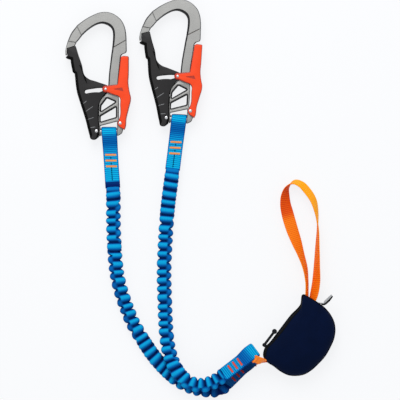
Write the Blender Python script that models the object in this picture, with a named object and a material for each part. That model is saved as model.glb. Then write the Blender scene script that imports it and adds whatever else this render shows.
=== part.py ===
"""Via ferrata lanyard: two stretch arms with palm-squeeze carabiners, an energy absorber in a
zipped pouch and a tie-in loop, laid flat as it comes out of a bag.

Metres, +Z up. +Y runs from the pouch's end towards the carabiners, and +X from the first
carabiner towards the pouch. The origin is the middle of the footprint, on the surface that
the lanyard lies on.
"""
import math

import bmesh
import bpy
import numpy as np
from mathutils import Vector
from mathutils.geometry import tessellate_polygon

for old in list(bpy.data.objects):
    bpy.data.objects.remove(old, do_unlink=True)

# Clearance between pieces
GAP = 0.0003

# The layout's middle, from the middle of the photographed frame to the footprint's middle
LAYOUT_X = 0.00005
LAYOUT_Y = -0.0061

# Carabiner: outlines are drawn on a grid of GRID_SQUARES to the length, from the bar's middle
CARABINER_LENGTH = 0.151
GRID_SQUARES = 128
GRID = CARABINER_LENGTH / GRID_SQUARES
HOOK_THICKNESS = 0.0122
NOSE_THICKNESS = 0.0104
NOSE_END_THICKNESS = 0.0086
SPINE_THICKNESS = 0.0092
LATTICE_THICKNESS = 0.0088
LUG_THICKNESS = 0.0036
INNER_CHAMFER = 0.0024
OUTER_CHAMFER = 0.0013
CHAMFER_DROP = 0.0022
LATTICE_CHAMFER = 0.0005
CHAMFER_LIMIT_SHARE = 0.3
BAR_RADIUS_SHARE = 0.02848
BAR_RADIUS = CARABINER_LENGTH * BAR_RADIUS_SHARE
LEG_LAP = 0.0008

# Gate
GATE_CHEEK = 0.0018
GATE_PLAY = 0.0004
GATE_CHAMFER = 0.0004
GATE_RIVET_RADIUS = 0.0013
GATE_OPEN_DEG = 20.0
GATE_HALF = SPINE_THICKNESS / 2 + GATE_PLAY + GATE_CHEEK
GATE_HOLLOW_HALF = SPINE_THICKNESS / 2 + GATE_PLAY
SLOT_DROP = 0.0026
SLOT_HALF_WIDTH = 0.0023
SLOT_ENDS_DEG = (-14.2, 4.0, 11.5)
SLOT_STEPS = 6
SLOT_CAP_STEPS = 5
TIP_CLEARANCE = 0.0007
TIP_STEPS = 3
NOSE_TIP_ROW = 25

# Lever
LEVER_CHEEK = 0.0016
LEVER_CHAMFER = 0.0005
LEVER_RIVET_RADIUS = 0.0013
LEVER_SQUEEZE_DEG = 5.0
LEVER_HALF = GATE_HALF + GATE_PLAY + LEVER_CHEEK
LEVER_HOLLOW_HALF = GATE_HALF + GATE_PLAY
LOCK_PIN_RADIUS = 0.0011
ARM_END_RADIUS = 0.0041
ARM_END_DEG = (-78, -282)

# Rivets, springs and spacers
RIVET_HEAD_RADIUS = 0.0021
RIVET_HEAD_HEIGHT = 0.0006
PIN_HEAD_RADIUS = 0.0016
LUG_RADIUS = 0.0044
LEVER_LUG_RADIUS = 0.0040
SPRING_WIRE = 0.0006
SPRING_PITCH = 0.00105
SPACER_WALL = 0.0007
COIL_STEPS = 9
WIRE_SIDES = 4

# Webbing and its eyes
WEBBING_WIDTH_SHARE = 0.1179
WEBBING_WIDTH = CARABINER_LENGTH * WEBBING_WIDTH_SHARE
WEBBING_THICKNESS = 0.0015
SLOT_SIDE_CLEARANCE = 0.0010
BAR_CLEARANCE = 0.00035
UPPER_EYE_LENGTH = 0.0660
UPPER_EYE_TAPER = 0.0200
LOWER_EYE_LENGTH = 0.0500
LOWER_EYE_TAPER = 0.0120
LOWER_EYE_STRAIGHT = 0.0105
LOWER_EYE_HALF_HEIGHT = 0.0013
PLY_GAP = 0.0001

# Bar tacks and the seam behind them
TACK_LENGTH = 0.0130
TACK_WIDTH = 0.0021
TACK_HEIGHT = 0.0006
TACK_PITCH = 0.0068
FIRST_TACK = 0.0270
FIRST_LOWER_TACK = 0.0110
SEAM_LENGTH = 0.0150
SEAM_WIDTH = 0.0010

# Stretch arms
SLEEVE_WIDTH = 0.0172
SLEEVE_HEIGHT = 0.0122
SLEEVE_SWAY = 0.0007
GATHER_PITCH = 0.0051
GATHER_VALLEY_SHARE = 0.84
PLAIN_SHARE = 0.9
SLEEVE_SIDES = 8
SLEEVE_GAP = 0.0009
CORE_DIAMETER = 0.0052
BORE_CLEARANCE = 0.0006

# Tapes
LINK_TAPE_WIDTH = 0.0092
LINK_TAPE_THICKNESS = 0.0016
TIE_IN_WIDTH = 0.0150
TIE_IN_THICKNESS = 0.0017

# Pouch: outline drawn on a grid of POUCH_SQUARES to the length, from its middle
POUCH_LENGTH = 0.0944
POUCH_SQUARES = 80
POUCH_GRID = POUCH_LENGTH / POUCH_SQUARES
POUCH_HEIGHT = 0.0300
POUCH_WALL = 0.0016
POUCH_MID = POUCH_HEIGHT / 2
SEAM_HALF_GAP = 0.0002
ZIP_HALF_GAP = 0.0034
MOUTH_HALF_HEIGHT = 0.0080
LINK_MOUTH_HALF_HEIGHT = 0.0058

# Absorber webbing, folded in layers
ABSORBER_LAYERS = 6
ABSORBER_WEBBING = 0.0021
ABSORBER_SPACING = 0.0006
ABSORBER_LENGTH = 0.0540
ABSORBER_WIDTH = 0.0260
ABSORBER_TURN_DEG = 50.0

# Zip
ZIP_START_SHARES = (-33.2, -14.2)
ZIP_TURN_DEG = 52.8
ZIP_LENGTH = 0.0500
ZIP_TRAVEL = 0.0400
ZIP_CHAIN_WIDTH = 0.0030
ZIP_CHAIN_HEIGHT = 0.0032
ZIP_TOOTH_PITCH = 0.0025
ZIP_TOOTH_SHARE = 0.72
ZIP_TAPE_THICKNESS = 0.0008
ZIP_TAPE_WIDTH = 0.0050
SLIDER_LENGTH = 0.0080
SLIDER_WALL = 0.0010
SLIDER_REACH = 0.0026
PULL_LENGTH = 0.0200
PULL_WIDTH = 0.0030
PULL_KNOB_RADIUS = 0.0030
PULL_STANDOFF = 0.0027
BRIDGE_RADIUS = 0.0009
BRIDGE_HALF = 0.0016
BRIDGE_EAR = 0.0010
PULL_EYE_WALL = 0.0011

# Label tab
LABEL_WIDTH = 0.0120
LABEL_THICKNESS = 0.0010

CORNER = 1
ROUND_STEPS = 12
CURVE_STEPS = 3
UP = np.array((0.0, 0.0, 1.0))


def srgb(value):
    """Linear value of one sRGB channel between 0 and 1."""
    return value / 12.92 if value <= 0.04045 else ((value + 0.055) / 1.055) ** 2.4


def finish(name, code, roughness, metallic=0.0):
    """Principled material of one hex colour."""
    made = bpy.data.materials.new(name)
    made.use_nodes = True
    shader = made.node_tree.nodes["Principled BSDF"]
    channels = [srgb(int(code[i:i + 2], 16) / 255) for i in (0, 2, 4)]
    shader.inputs["Base Color"].default_value = (*channels, 1)
    shader.inputs["Roughness"].default_value = roughness
    shader.inputs["Metallic"].default_value = metallic
    return made


def holder(name, place, turn_deg=0.0, parent=None):
    """Empty that carries the pieces of one moving body or one sub-assembly."""
    empty = bpy.data.objects.new(name, None)
    bpy.context.collection.objects.link(empty)
    empty.location = place
    empty.rotation_euler = (0, 0, math.radians(turn_deg))
    empty.parent = parent
    return empty


def solid(name, points, faces, look, parent=None, place=(0, 0, 0)):
    """Closed mesh object with its faces pointing out."""
    shape = bmesh.new()
    corners = [shape.verts.new(tuple(map(float, p))) for p in points]
    for face in faces:
        shape.faces.new([corners[i] for i in face])
    bmesh.ops.recalc_face_normals(shape, faces=shape.faces)
    data = bpy.data.meshes.new(name)
    shape.to_mesh(data)
    shape.free()
    made = bpy.data.objects.new(name, data)
    bpy.context.collection.objects.link(made)
    data.materials.append(look)
    made.parent = parent
    made.location = place
    return made


def combine(target, other, operation):
    """Exact Boolean of a hidden second solid on the target."""
    step = target.modifiers.new(other.name, "BOOLEAN")
    step.operation = operation
    step.solver = "EXACT"
    step.object = other
    other.hide_render = True
    other.display_type = "WIRE"


def smooth(points, steps=CURVE_STEPS, closed=True, size=2):
    """Smooth curve through points; a point that ends in CORNER keeps its corner."""
    spots = np.array([p[:size] for p in points], dtype=float)
    marks = [len(p) > size and p[size] == CORNER for p in points]
    count = len(spots)
    step = np.roll(spots, -1, axis=0) - spots
    length = np.linalg.norm(step, axis=1)
    unit = step / length[:, None]
    behind = np.roll(length, 1)
    slope = np.roll(unit, 1, axis=0) * length[:, None] + unit * behind[:, None]
    slope /= (length + behind)[:, None]
    curve = []
    for i in range(count if closed else count - 1):
        j = (i + 1) % count
        sharp = (marks[i] or (not closed and i == 0), marks[j] or (not closed and j == count - 1))
        start = (unit[i] if sharp[0] else slope[i]) * length[i]
        end = (unit[i] if sharp[1] else slope[j]) * length[i]
        for k in range(1 if all(sharp) else steps):
            t = k / steps
            near = 2 * t**3 - 3 * t**2 + 1
            curve.append(near * spots[i] + (1 - near) * spots[j]
                         + (t**3 - 2 * t**2 + t) * start + (t**3 - t**2) * end)
    return np.array(curve if closed else curve + [spots[-1]])


def circle(centre, radius, steps=ROUND_STEPS):
    """Points round a circle."""
    return arc(centre, radius, 0, 360, steps)[:-1]


def arc(centre, radius, start_deg, end_deg, steps):
    """Points along an arc, both ends included."""
    angles = [math.radians(start_deg + (end_deg - start_deg) * k / steps) for k in range(steps + 1)]
    return [(centre[0] + radius * math.cos(a), centre[1] + radius * math.sin(a)) for a in angles]


def turned(loop, anticlockwise):
    """The loop in the wanted sense."""
    x, y = loop[:, 0], loop[:, 1]
    area = np.sum(x * np.roll(y, -1) - np.roll(x, -1) * y)
    return loop if (area > 0) == anticlockwise else loop[::-1]


def inset(loop, distance):
    """Loop moved to its left by a distance, with mitred corners."""
    ahead = np.roll(loop, -1, axis=0) - loop
    ahead /= np.linalg.norm(ahead, axis=1)[:, None]
    normal = np.stack([-ahead[:, 1], ahead[:, 0]], axis=1)
    last = np.roll(normal, 1, axis=0)
    spread = np.maximum(1 + np.sum(normal * last, axis=1), 0.5)
    return loop + distance * (normal + last) / spread[:, None]


def slab(name, loops, low, high, look, chamfer=0.0, parent=None, place=(0, 0, 0)):
    """Plate between two heights, with holes and chamfered rims; the first loop is the outside."""
    loops = [turned(np.array(loop, dtype=float), i == 0) for i, loop in enumerate(loops)]
    pulled = [inset(loop, chamfer) for loop in loops]
    levels = [(pulled, low), (loops, low + chamfer), (loops, high - chamfer), (pulled, high)]
    if not chamfer:
        levels = [(loops, low), (loops, high)]
    points = [(x, y, z) for rings, z in levels for ring in rings for x, y in ring]
    total = sum(len(loop) for loop in loops)
    faces = []
    start = 0
    for _ in levels[1:]:
        for loop in loops:
            count = len(loop)
            faces += [(start + i, start + (i + 1) % count,
                       start + total + (i + 1) % count, start + total + i) for i in range(count)]
            start += count
    fill = tessellate_polygon([[Vector((x, y, 0)) for x, y in ring] for ring in pulled])
    faces += [tuple(tri) for tri in fill] + [tuple(i + start for i in tri) for tri in fill]
    return solid(name, points, faces, look, parent, place)


def lofted(name, rings, look, parent=None, place=(0, 0, 0)):
    """Skin through rings of equal count, closed by a flat face at each end."""
    count = len(rings[0])
    points = [p for ring in rings for p in ring]
    faces = [tuple(range(count)), tuple(range(len(points) - count, len(points)))]
    for start in range(0, len(points) - count, count):
        faces += [(start + i, start + (i + 1) % count,
                   start + count + (i + 1) % count, start + count + i) for i in range(count)]
    return solid(name, points, faces, look, parent, place)


def turned_pin(name, profile, look, parent, place):
    """Round pin along Z through (radius, height) pairs."""
    rings = [[(x, y, height) for x, y in circle((0, 0), radius)] for radius, height in profile]
    return lofted(name, rings, look, parent, place)


def rivet(name, shaft, head, half, look, parent, place):
    """Pin along Z with a flat head outside each face of what it holds."""
    top = half + GAP
    return turned_pin(name, [(head, -top - RIVET_HEAD_HEIGHT), (head, -top), (shaft, -top),
                             (shaft, top), (head, top), (head, top + RIVET_HEAD_HEIGHT)],
                      look, parent, place)


def coil(name, radius, low, high, look, parent, place):
    """Torsion spring's turns round a rivet, between two heights."""
    rise = high - low - SPRING_WIRE
    turns = rise / SPRING_PITCH
    count = math.ceil(turns * COIL_STEPS)
    rings = []
    for k in range(count + 1):
        angle = math.tau * turns * k / count
        middle = low + SPRING_WIRE / 2 + rise * k / count
        rings.append([(math.cos(angle) * (radius + r), math.sin(angle) * (radius + r), middle + z)
                      for r, z in circle((0, 0), SPRING_WIRE / 2, WIRE_SIDES)])
    return lofted(name, rings, look, parent, place)


def directions(centres):
    """Unit tangents of a route."""
    ahead = np.gradient(centres, axis=0)
    return ahead / np.linalg.norm(ahead, axis=1)[:, None]


def ribbon(name, centres, across, widths, thickness, look, parent=None):
    """Flat tape along centres, its width along the across directions."""
    centres = np.array(centres, dtype=float)
    ahead = directions(centres)
    across = np.array(across, dtype=float)
    across -= ahead * np.sum(across * ahead, axis=1)[:, None]
    across /= np.linalg.norm(across, axis=1)[:, None]
    half_width = across * (np.array(widths) / 2)[:, None]
    half_face = np.cross(ahead, across) * thickness / 2
    rings = np.stack([centres - half_width - half_face, centres + half_width - half_face,
                      centres + half_width + half_face, centres - half_width + half_face], axis=1)
    return lofted(name, rings, look, parent)


def on_grid(points, unit):
    """Outline points in metres, each keeping its corner mark."""
    return [(p[0] * unit, p[1] * unit, *p[2:]) for p in points]


FORGED = finish("anodised_aluminium", "aeaeac", 0.42, 1.0)
BLACK = finish("black_moulding", "2b2a2b", 0.55)
ORANGE_RED = finish("orange_lever", "f6502a", 0.45)
STEEL = finish("rivet_steel", "d5d6d6", 0.25, 1.0)
SPRING_STEEL = finish("spring_steel", "9fa2a4", 0.3, 1.0)
SPACER_NYLON = finish("spacer_nylon", "e2e0d8", 0.5)
BLUE = finish("blue_webbing", "0b86cc", 0.85)
TACK_ORANGE = finish("tack_thread", "e88f4c", 0.8)
TACK_RED = finish("tack_thread_red", "e0604e", 0.8)
CORE_WHITE = finish("elastic", "e8e6df", 0.9)
ORANGE = finish("orange_tape", "f58312", 0.8)
NAVY = finish("navy_neoprene", "0a1a38", 0.85)
ZIP_BLACK = finish("zip_black", "101113", 0.6)
LABEL_GREY = finish("label_grey", "b9bbbd", 0.7)

# Carabiner outlines, in shares of GRID. Stations across the hook and spine, from under the
# lever's arm up the spine and over to the nose: outer point, inner point, thickness.
HOOK_SHARES = [
    (8.9, 39, -1.4, 39, SPINE_THICKNESS, CORNER), (8.7, 48, -0.9, 48, SPINE_THICKNESS),
    (9.6, 59, -0.2, 59, SPINE_THICKNESS), (10.6, 68, 0.85, 68, SPINE_THICKNESS),
    (11.4, 75, 1.7, 75, SPINE_THICKNESS, CORNER), (11.7, 76.1, 1.8, 76.1, SPINE_THICKNESS, CORNER),
    (12.9, 77.6, 2.0, 77.4, SPINE_THICKNESS), (16.7, 79.3, 2.2, 79, SPINE_THICKNESS, CORNER),
    (17.4, 81, 2.5, 81, SPINE_THICKNESS, CORNER), (17.2, 91.6, 2.9, 83.4, SPINE_THICKNESS, CORNER),
    (17.2, 92.6, 3.0, 84.4, HOOK_THICKNESS, CORNER), (16.8, 98.3, 3.6, 91, HOOK_THICKNESS),
    (15.5, 105, 3.8, 97, HOOK_THICKNESS), (12.9, 110.7, 3.2, 101.4, HOOK_THICKNESS),
    (8.3, 115.4, 0.9, 105, HOOK_THICKNESS), (3.3, 118.4, -2.7, 107.3, HOOK_THICKNESS),
    (-2.8, 119.9, -7, 108.5, HOOK_THICKNESS), (-9.3, 119.4, -11.1, 108, HOOK_THICKNESS),
    (-16.8, 116.5, -15.8, 105.9, HOOK_THICKNESS), (-25.3, 111.7, -22.1, 101.5, HOOK_THICKNESS),
    (-32, 106.6, -27.2, 96.8, HOOK_THICKNESS, CORNER),
    (-32.8, 105.7, -27.9, 95.8, NOSE_THICKNESS, CORNER),
    (-38.3, 98.3, -31, 91.8, NOSE_THICKNESS), (-41.3, 91.2, -32.9, 89.8, NOSE_THICKNESS, CORNER),
    (-41.7, 90.2, -33.2, 89, NOSE_END_THICKNESS, CORNER),
    (-43.4, 84.3, -34.5, 86.2, NOSE_END_THICKNESS, CORNER),
    (-43.5, 83.4, -41.9, 84.0, NOSE_END_THICKNESS, CORNER),
    (-43.9, 79.2, -42.1, 79.2, NOSE_END_THICKNESS),
    (-43.7, 76.9, -42.4, 76.9, NOSE_END_THICKNESS, CORNER)]
LATTICE_SHARES = [
    (8.9, 45, CORNER), (9.0, 38, CORNER), (9.4, 33), (9.5, 14, CORNER)]
LATTICE_FOOT_SHARES = [
    (14.0, 2.9), (12.3, -1.4), (8.8, -3.6, CORNER)]
LATTICE_LEFT_SHARES = [
    (-10.2, -4.1, CORNER), (-10.3, 10, CORNER), (-10.5, 22), (-9.9, 29), (-8.6, 32.5),
    (-4.6, 36.4), (-2.6, 39), (-1.5, 42.5), (-1.1, 45, CORNER)]
SLOT_TOP_SHARES = (6.2, 10.6)
WINDOW_SHARES = [
    [(-2.3, 33.7), (5.9, 30.1), (-8.2, 20.9), (-7.9, 26.3)],
    [(6.6, 24.6), (6.6, 15.0), (-8.6, 10.4), (-8.6, 15.6)]]
GATE_RIVET_SHARES = (-12.7, 0.9)
LEVER_RIVET_SHARES = (11.0, 8.8)
LOCK_PIN_SHARES = (-3.5, 42.8)
LUG_TOP_SHARES = (-9.6, 26)
LUG_ROOT_SHARES = [(-9.2, 10), (-9.2, -3.4)]
EYE_OFFSET_SHARE = -0.6

GATE_TIP_SHARES = (-20.9, -28.9)
GATE_LEFT_SHARES = [
    (-41.6, 82.4), (-41.8, 76, CORNER), (-43.5, 74.7, CORNER), (-42.8, 73.6, CORNER),
    (-38.6, 72.2, CORNER), (-38.4, 70), (-36.5, 59.8, CORNER), (-34.5, 58, CORNER), (-32, 39.1),
    (-28.7, 28.3), (-23.7, 12.5), (-19.7, -3.0), (-18.4, -7.0), (-14.6, -7.7), (-10.6, -4.9, CORNER)]
GATE_RIGHT_SHARES = [
    (-10.1, 3, CORNER), (-10.9, 18.7), (-10, 27.9), (-6, 35.3), (-3.4, 38.4), (-1.4, 40.5),
    (-0.9, 43.5), (-1.5, 46.2), (-3.2, 47.1, CORNER), (-13.3, 50.5), (-20.7, 53.1),
    (-24.1, 55.9), (-27.8, 68.1), (-30.8, 76.5)]
HOLLOW_SHARES = [
    (14, 60), (-20.6, 60), (-22.0, 53.0), (-29.4, 44), (-29.6, 39.5), (-26.3, 27.6),
    (-21.4, 12.0), (-17.5, -2.2), (-17.2, -4.9), (-14.6, -5.6), (-9, -2.0), (14, -2)]

LEVER_SHARES = [
    (11.5, 74.4, CORNER), (12.3, 75.2), (18.7, 75.6, CORNER), (19.5, 74.9, CORNER),
    (19.3, 57.7), (19.0, 48.5),
    (20.6, 38.5), (21.5, 35), (21.5, 32.8), (19.4, 23.2), (17.1, 13.6), (16.0, 4.1),
    (15.1, 2.2, CORNER), (9.1, 6.4), (8.2, 8.6), (9.2, 10.8), (10.8, 15.6), (11.0, 27),
    (10.6, 33.9), (8.7, 35.8), (5.7, 36.6, CORNER)]
LEVER_INNER_SHARES = [(8.3, 47.4, CORNER), (10.1, 62.3, CORNER)]
LEVER_HOLLOW_SHARES = [(18.0, 90), (18.0, 57.7), (17.6, 48.5), (19.2, 38.3), (20.1, 35),
                       (20.1, 32.9), (18.0, 23.4), (15.7, 13.8), (14.6, 3.5)]
HOLLOW_OPEN_SHARES = [(14.6, -4), (-12, -4), (-12, 90)]


def spot(shares):
    """Point of the carabiner's drawing, in metres."""
    return (shares[0] * GRID, shares[1] * GRID)


def hook_body(name, parent):
    """Hook and spine: a chamfered bar through stations across it."""
    stations = [(*(share * GRID for share in row[:4]), row[4] / 2, *row[5:]) for row in HOOK_SHARES]
    rings = []
    for ox, oy, ix, iy, half in smooth(stations, 2, False, 5):
        outer, step = np.array((ox, oy)), np.array((ix - ox, iy - oy))
        width = np.linalg.norm(step)
        outside = min(OUTER_CHAMFER / width, CHAMFER_LIMIT_SHARE)
        inside = min(INNER_CHAMFER / width, CHAMFER_LIMIT_SHARE)
        drop = min(CHAMFER_DROP, width * CHAMFER_LIMIT_SHARE)
        rings.append([(*(outer + step * along), height) for along, height in (
            (outside, half), (1 - inside, half), (1, half - drop), (1, drop - half),
            (1 - inside, -half), (outside, -half), (0, drop - half), (0, half - drop))])
    return lofted(name, rings, FORGED, parent)


def frame_piece(side, parent):
    """Forged frame: hook, spine, lattice with two windows, webbing bar and gate lug."""
    frame = hook_body("frame_" + side, parent)
    slot_half = WEBBING_WIDTH / 2 + SLOT_SIDE_CLEARANCE
    eye = EYE_OFFSET_SHARE * GRID
    left, right = eye - slot_half, eye + slot_half
    outline = list(smooth(on_grid(LATTICE_SHARES, GRID), closed=False))
    outline += arc(spot(LEVER_RIVET_SHARES), LEVER_LUG_RADIUS, 110, -10, 5)
    outline += list(smooth(on_grid(LATTICE_FOOT_SHARES, GRID), closed=False))
    foot = outline[-1][1]
    outline += [(right, foot), (right, SLOT_TOP_SHARES[1] * GRID),
                (left, SLOT_TOP_SHARES[0] * GRID), (left, LATTICE_LEFT_SHARES[0][1] * GRID)]
    outline += list(smooth(on_grid(LATTICE_LEFT_SHARES, GRID), closed=False))
    holes = [on_grid(window, GRID) for window in WINDOW_SHARES]
    holes.append(circle(spot(LEVER_RIVET_SHARES), LEVER_RIVET_RADIUS + GAP))
    lattice = slab("lattice_" + side, [outline, *holes], -LATTICE_THICKNESS / 2,
                   LATTICE_THICKNESS / 2, FORGED, LATTICE_CHAMFER, parent)
    lug_centre = spot(GATE_RIVET_SHARES)
    lug = slab("lug_" + side,
               [[spot(LUG_TOP_SHARES), *arc(lug_centre, LUG_RADIUS, 160, 290, 6),
                 *map(spot, reversed(LUG_ROOT_SHARES))],
                circle(lug_centre, GATE_RIVET_RADIUS + GAP)],
               -LUG_THICKNESS / 2, LUG_THICKNESS / 2, FORGED, 0, parent)
    reach = (left - LEG_LAP, right + LEG_LAP)
    bar = lofted("bar_" + side, [[(x, y, z) for y, z in circle((0, 0), BAR_RADIUS)]
                                 for x in reach], FORGED, parent)
    for other in (lattice, lug, bar):
        combine(frame, other, "UNION")
    return frame


def lock_pin_path(gate_deg):
    """Lock pin's place in the gate's own frame while the gate is open by an angle."""
    lever = math.radians(min(gate_deg, GATE_OPEN_DEG) * LEVER_SQUEEZE_DEG / GATE_OPEN_DEG)
    pivot, rivet_spot = np.array(spot(LEVER_RIVET_SHARES)), np.array(spot(GATE_RIVET_SHARES))
    arm = np.array(spot(LOCK_PIN_SHARES)) - pivot
    place = pivot + np.array((arm[0] * math.cos(lever) - arm[1] * math.sin(lever),
                              arm[0] * math.sin(lever) + arm[1] * math.cos(lever))) - rivet_spot
    gate = math.radians(gate_deg)
    return (place[0] * math.cos(gate) - place[1] * math.sin(gate),
            place[0] * math.sin(gate) + place[1] * math.cos(gate))


def gate_slot():
    """Slot for the lock pin, about the gate's rivet: an arc with a latch notch at its right end."""
    reach = LOCK_PIN_RADIUS + GAP
    middle = math.hypot(*lock_pin_path(0)) - SLOT_DROP
    path = [lock_pin_path(GATE_OPEN_DEG * k / SLOT_STEPS) for k in range(SLOT_STEPS + 1)]
    outer = [(max(math.hypot(x, y) + reach, middle + SLOT_HALF_WIDTH), math.atan2(x, y))
             for x, y in path]
    points = [(radius * math.sin(angle), radius * math.cos(angle)) for radius, angle in outer]
    left, inner_right, notch = (math.radians(a) for a in SLOT_ENDS_DEG)
    for k in range(SLOT_CAP_STEPS + 1):
        turn = left - math.pi * k / SLOT_CAP_STEPS
        points.append((middle * math.sin(left) + SLOT_HALF_WIDTH * math.sin(turn),
                       middle * math.cos(left) + SLOT_HALF_WIDTH * math.cos(turn)))
    inner = middle - SLOT_HALF_WIDTH
    points += [(inner * math.sin(left + (inner_right - left) * k / SLOT_STEPS),
                inner * math.cos(left + (inner_right - left) * k / SLOT_STEPS))
               for k in range(1, SLOT_STEPS + 1)]
    rest = path[0]
    base = math.hypot(*rest) - reach
    points.append((base * math.sin(notch), base * math.cos(notch)))
    points += arc(rest, reach, -60, 60, 4)
    return points


def gate_piece(side, parent):
    """Gate: a channel that straddles the lattice, with the lock pin's slot in both cheeks."""
    centre = np.array(spot(GATE_RIVET_SHARES))
    nose = np.array(spot(HOOK_SHARES[NOSE_TIP_ROW][2:4]))
    tip_radius = math.hypot(*(nose - centre)) - TIP_CLEARANCE
    tips = [math.asin(share * GRID / tip_radius) for share in GATE_TIP_SHARES]
    outline = []
    for k in range(TIP_STEPS + 1):
        angle = tips[0] + (tips[1] - tips[0]) * k / TIP_STEPS
        outline.append(tuple(centre + tip_radius * np.array((math.sin(angle), math.cos(angle)))))
    outline += list(smooth(on_grid(GATE_LEFT_SHARES, GRID), closed=False))
    outline += list(smooth(on_grid(GATE_RIGHT_SHARES, GRID), closed=False))
    outline = np.array(outline) - centre
    hollow = np.array([spot(p) for p in HOLLOW_SHARES]) - centre
    gate = slab("gate_" + side, [outline, gate_slot(), circle((0, 0), GATE_RIVET_RADIUS + GAP)],
                -GATE_HALF, GATE_HALF, BLACK, GATE_CHAMFER, parent)
    cutter = slab("gate_hollow_" + side, [hollow], -GATE_HOLLOW_HALF, GATE_HOLLOW_HALF, BLACK,
                  0, parent)
    combine(gate, cutter, "DIFFERENCE")
    return gate


def lever_piece(side, parent):
    """Palm lever: a channel open towards the spine, with an arm over the gate's slot."""
    centre = np.array(spot(LEVER_RIVET_SHARES))
    pin = spot(LOCK_PIN_SHARES)
    outline = list(smooth(on_grid(LEVER_SHARES, GRID), closed=False))
    outline += arc(pin, ARM_END_RADIUS, *ARM_END_DEG, 8)
    outline += list(smooth(on_grid(LEVER_INNER_SHARES, GRID), closed=False))
    outline = np.array(outline) - centre
    hollow = np.array([spot(p) for p in LEVER_HOLLOW_SHARES + HOLLOW_OPEN_SHARES]) - centre
    lever = slab("lever_" + side,
                 [outline, circle((0, 0), LEVER_RIVET_RADIUS + GAP),
                  circle(np.array(pin) - centre, LOCK_PIN_RADIUS + GAP)],
                 -LEVER_HALF, LEVER_HALF, ORANGE_RED, LEVER_CHAMFER, parent)
    cutter = slab("lever_hollow_" + side, [hollow], -LEVER_HOLLOW_HALF, LEVER_HOLLOW_HALF,
                  ORANGE_RED, 0, parent)
    combine(lever, cutter, "DIFFERENCE")
    return lever


def carabiner(side, place, turn_deg, parent):
    """One carabiner: its frame, gate, lever, rivets, lock pin, springs and spacers."""
    body = holder("carabiner_" + side, place, turn_deg, parent)
    gate_place = (*spot(GATE_RIVET_SHARES), 0)
    lever_place = (*spot(LEVER_RIVET_SHARES), 0)
    gate_body = holder("gate_body_" + side, gate_place, 0, body)
    lever_body = holder("lever_body_" + side, lever_place, 0, body)
    frame_piece(side, body)
    gate_piece(side, gate_body)
    lever_piece(side, lever_body)
    rivet("gate_rivet_" + side, GATE_RIVET_RADIUS, RIVET_HEAD_RADIUS, GATE_HALF, STEEL, body,
          gate_place)
    rivet("lever_rivet_" + side, LEVER_RIVET_RADIUS, RIVET_HEAD_RADIUS, LEVER_HALF, STEEL, body,
          lever_place)
    pin_place = np.array(spot(LOCK_PIN_SHARES)) - np.array(spot(LEVER_RIVET_SHARES))
    rivet("lock_pin_" + side, LOCK_PIN_RADIUS, PIN_HEAD_RADIUS, LEVER_HALF, STEEL, lever_body,
          (*pin_place, 0))
    for name, shaft, low, high, where in (
            ("gate", GATE_RIVET_RADIUS, LUG_THICKNESS / 2, GATE_HOLLOW_HALF, gate_place),
            ("lever", LEVER_RIVET_RADIUS, LATTICE_THICKNESS / 2, LEVER_HOLLOW_HALF, lever_place)):
        coil(f"{name}_spring_{side}", shaft + GAP + SPRING_WIRE, low + GAP, high - GAP,
             SPRING_STEEL, body, where)
        slab(f"{name}_spacer_{side}",
             [circle((0, 0), shaft + GAP + SPACER_WALL), circle((0, 0), shaft + GAP)],
             GAP - high, -low - GAP, SPACER_NYLON, 0, body, where)
    return body


# Places of the two carabiners' bars, and the routes of the stretch arms between their eyes.
# The routes' points are chosen by hand; each arm starts and ends at an eye.
CARABINER_Z = LEVER_HALF + GAP + RIVET_HEAD_HEIGHT
BAR_PLACES = {"a": (-0.1070, 0.0802, CARABINER_Z), "b": (-0.0248, 0.0951, CARABINER_Z)}
BAR_TURNS_DEG = {"a": 0.0, "b": -3.0}
UPPER_EYE_LEANS_DEG = {"a": 2.9, "b": -5.7}
LOWER_EYE_PLACES = {"a": (0.0297, -0.2182, 0.0070), "b": (0.0266, -0.2063, 0.0202)}
LOWER_EYE_TURNS_DEG = {"a": 45.0, "b": 37.5}
LOWER_EYE_TILTS_DEG = {"a": -20.0, "b": 25.0}
ARM_ROUTES = {
    "a": [(-0.1029, -0.0130, 0.0068), (-0.1022, -0.0307, 0.0066),
          (-0.1014, -0.0507, 0.0066), (-0.1001, -0.0708, 0.0066), (-0.0977, -0.0897, 0.0066),
          (-0.0930, -0.1086, 0.0066), (-0.0866, -0.1274, 0.0066), (-0.0784, -0.1469, 0.0066),
          (-0.0675, -0.1652, 0.0066), (-0.0566, -0.1817, 0.0066), (-0.0437, -0.1970, 0.0066),
          (-0.0290, -0.2104, 0.0066), (-0.0130, -0.2196, 0.0066), (0.0040, -0.2240, 0.0066),
          (0.0175, -0.2246, 0.0068)],
    "b": [(-0.0366, 0.0035, 0.0068), (-0.0385, -0.0130, 0.0066),
          (-0.0399, -0.0307, 0.0066), (-0.0411, -0.0507, 0.0066), (-0.0421, -0.0708, 0.0066),
          (-0.0425, -0.0897, 0.0066), (-0.0420, -0.1086, 0.0066), (-0.0414, -0.1274, 0.0067),
          (-0.0406, -0.1463, 0.0074), (-0.0389, -0.1652, 0.0100), (-0.0354, -0.1805, 0.0140),
          (-0.0301, -0.1935, 0.0178), (-0.0224, -0.2047, 0.0200), (-0.0118, -0.2126, 0.0206),
          (0.0000, -0.2159, 0.0206), (0.0130, -0.2138, 0.0204)]}
SLEEVE_START_RUN = 0.0120
EYE_CURVE_STEPS = 6


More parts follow.
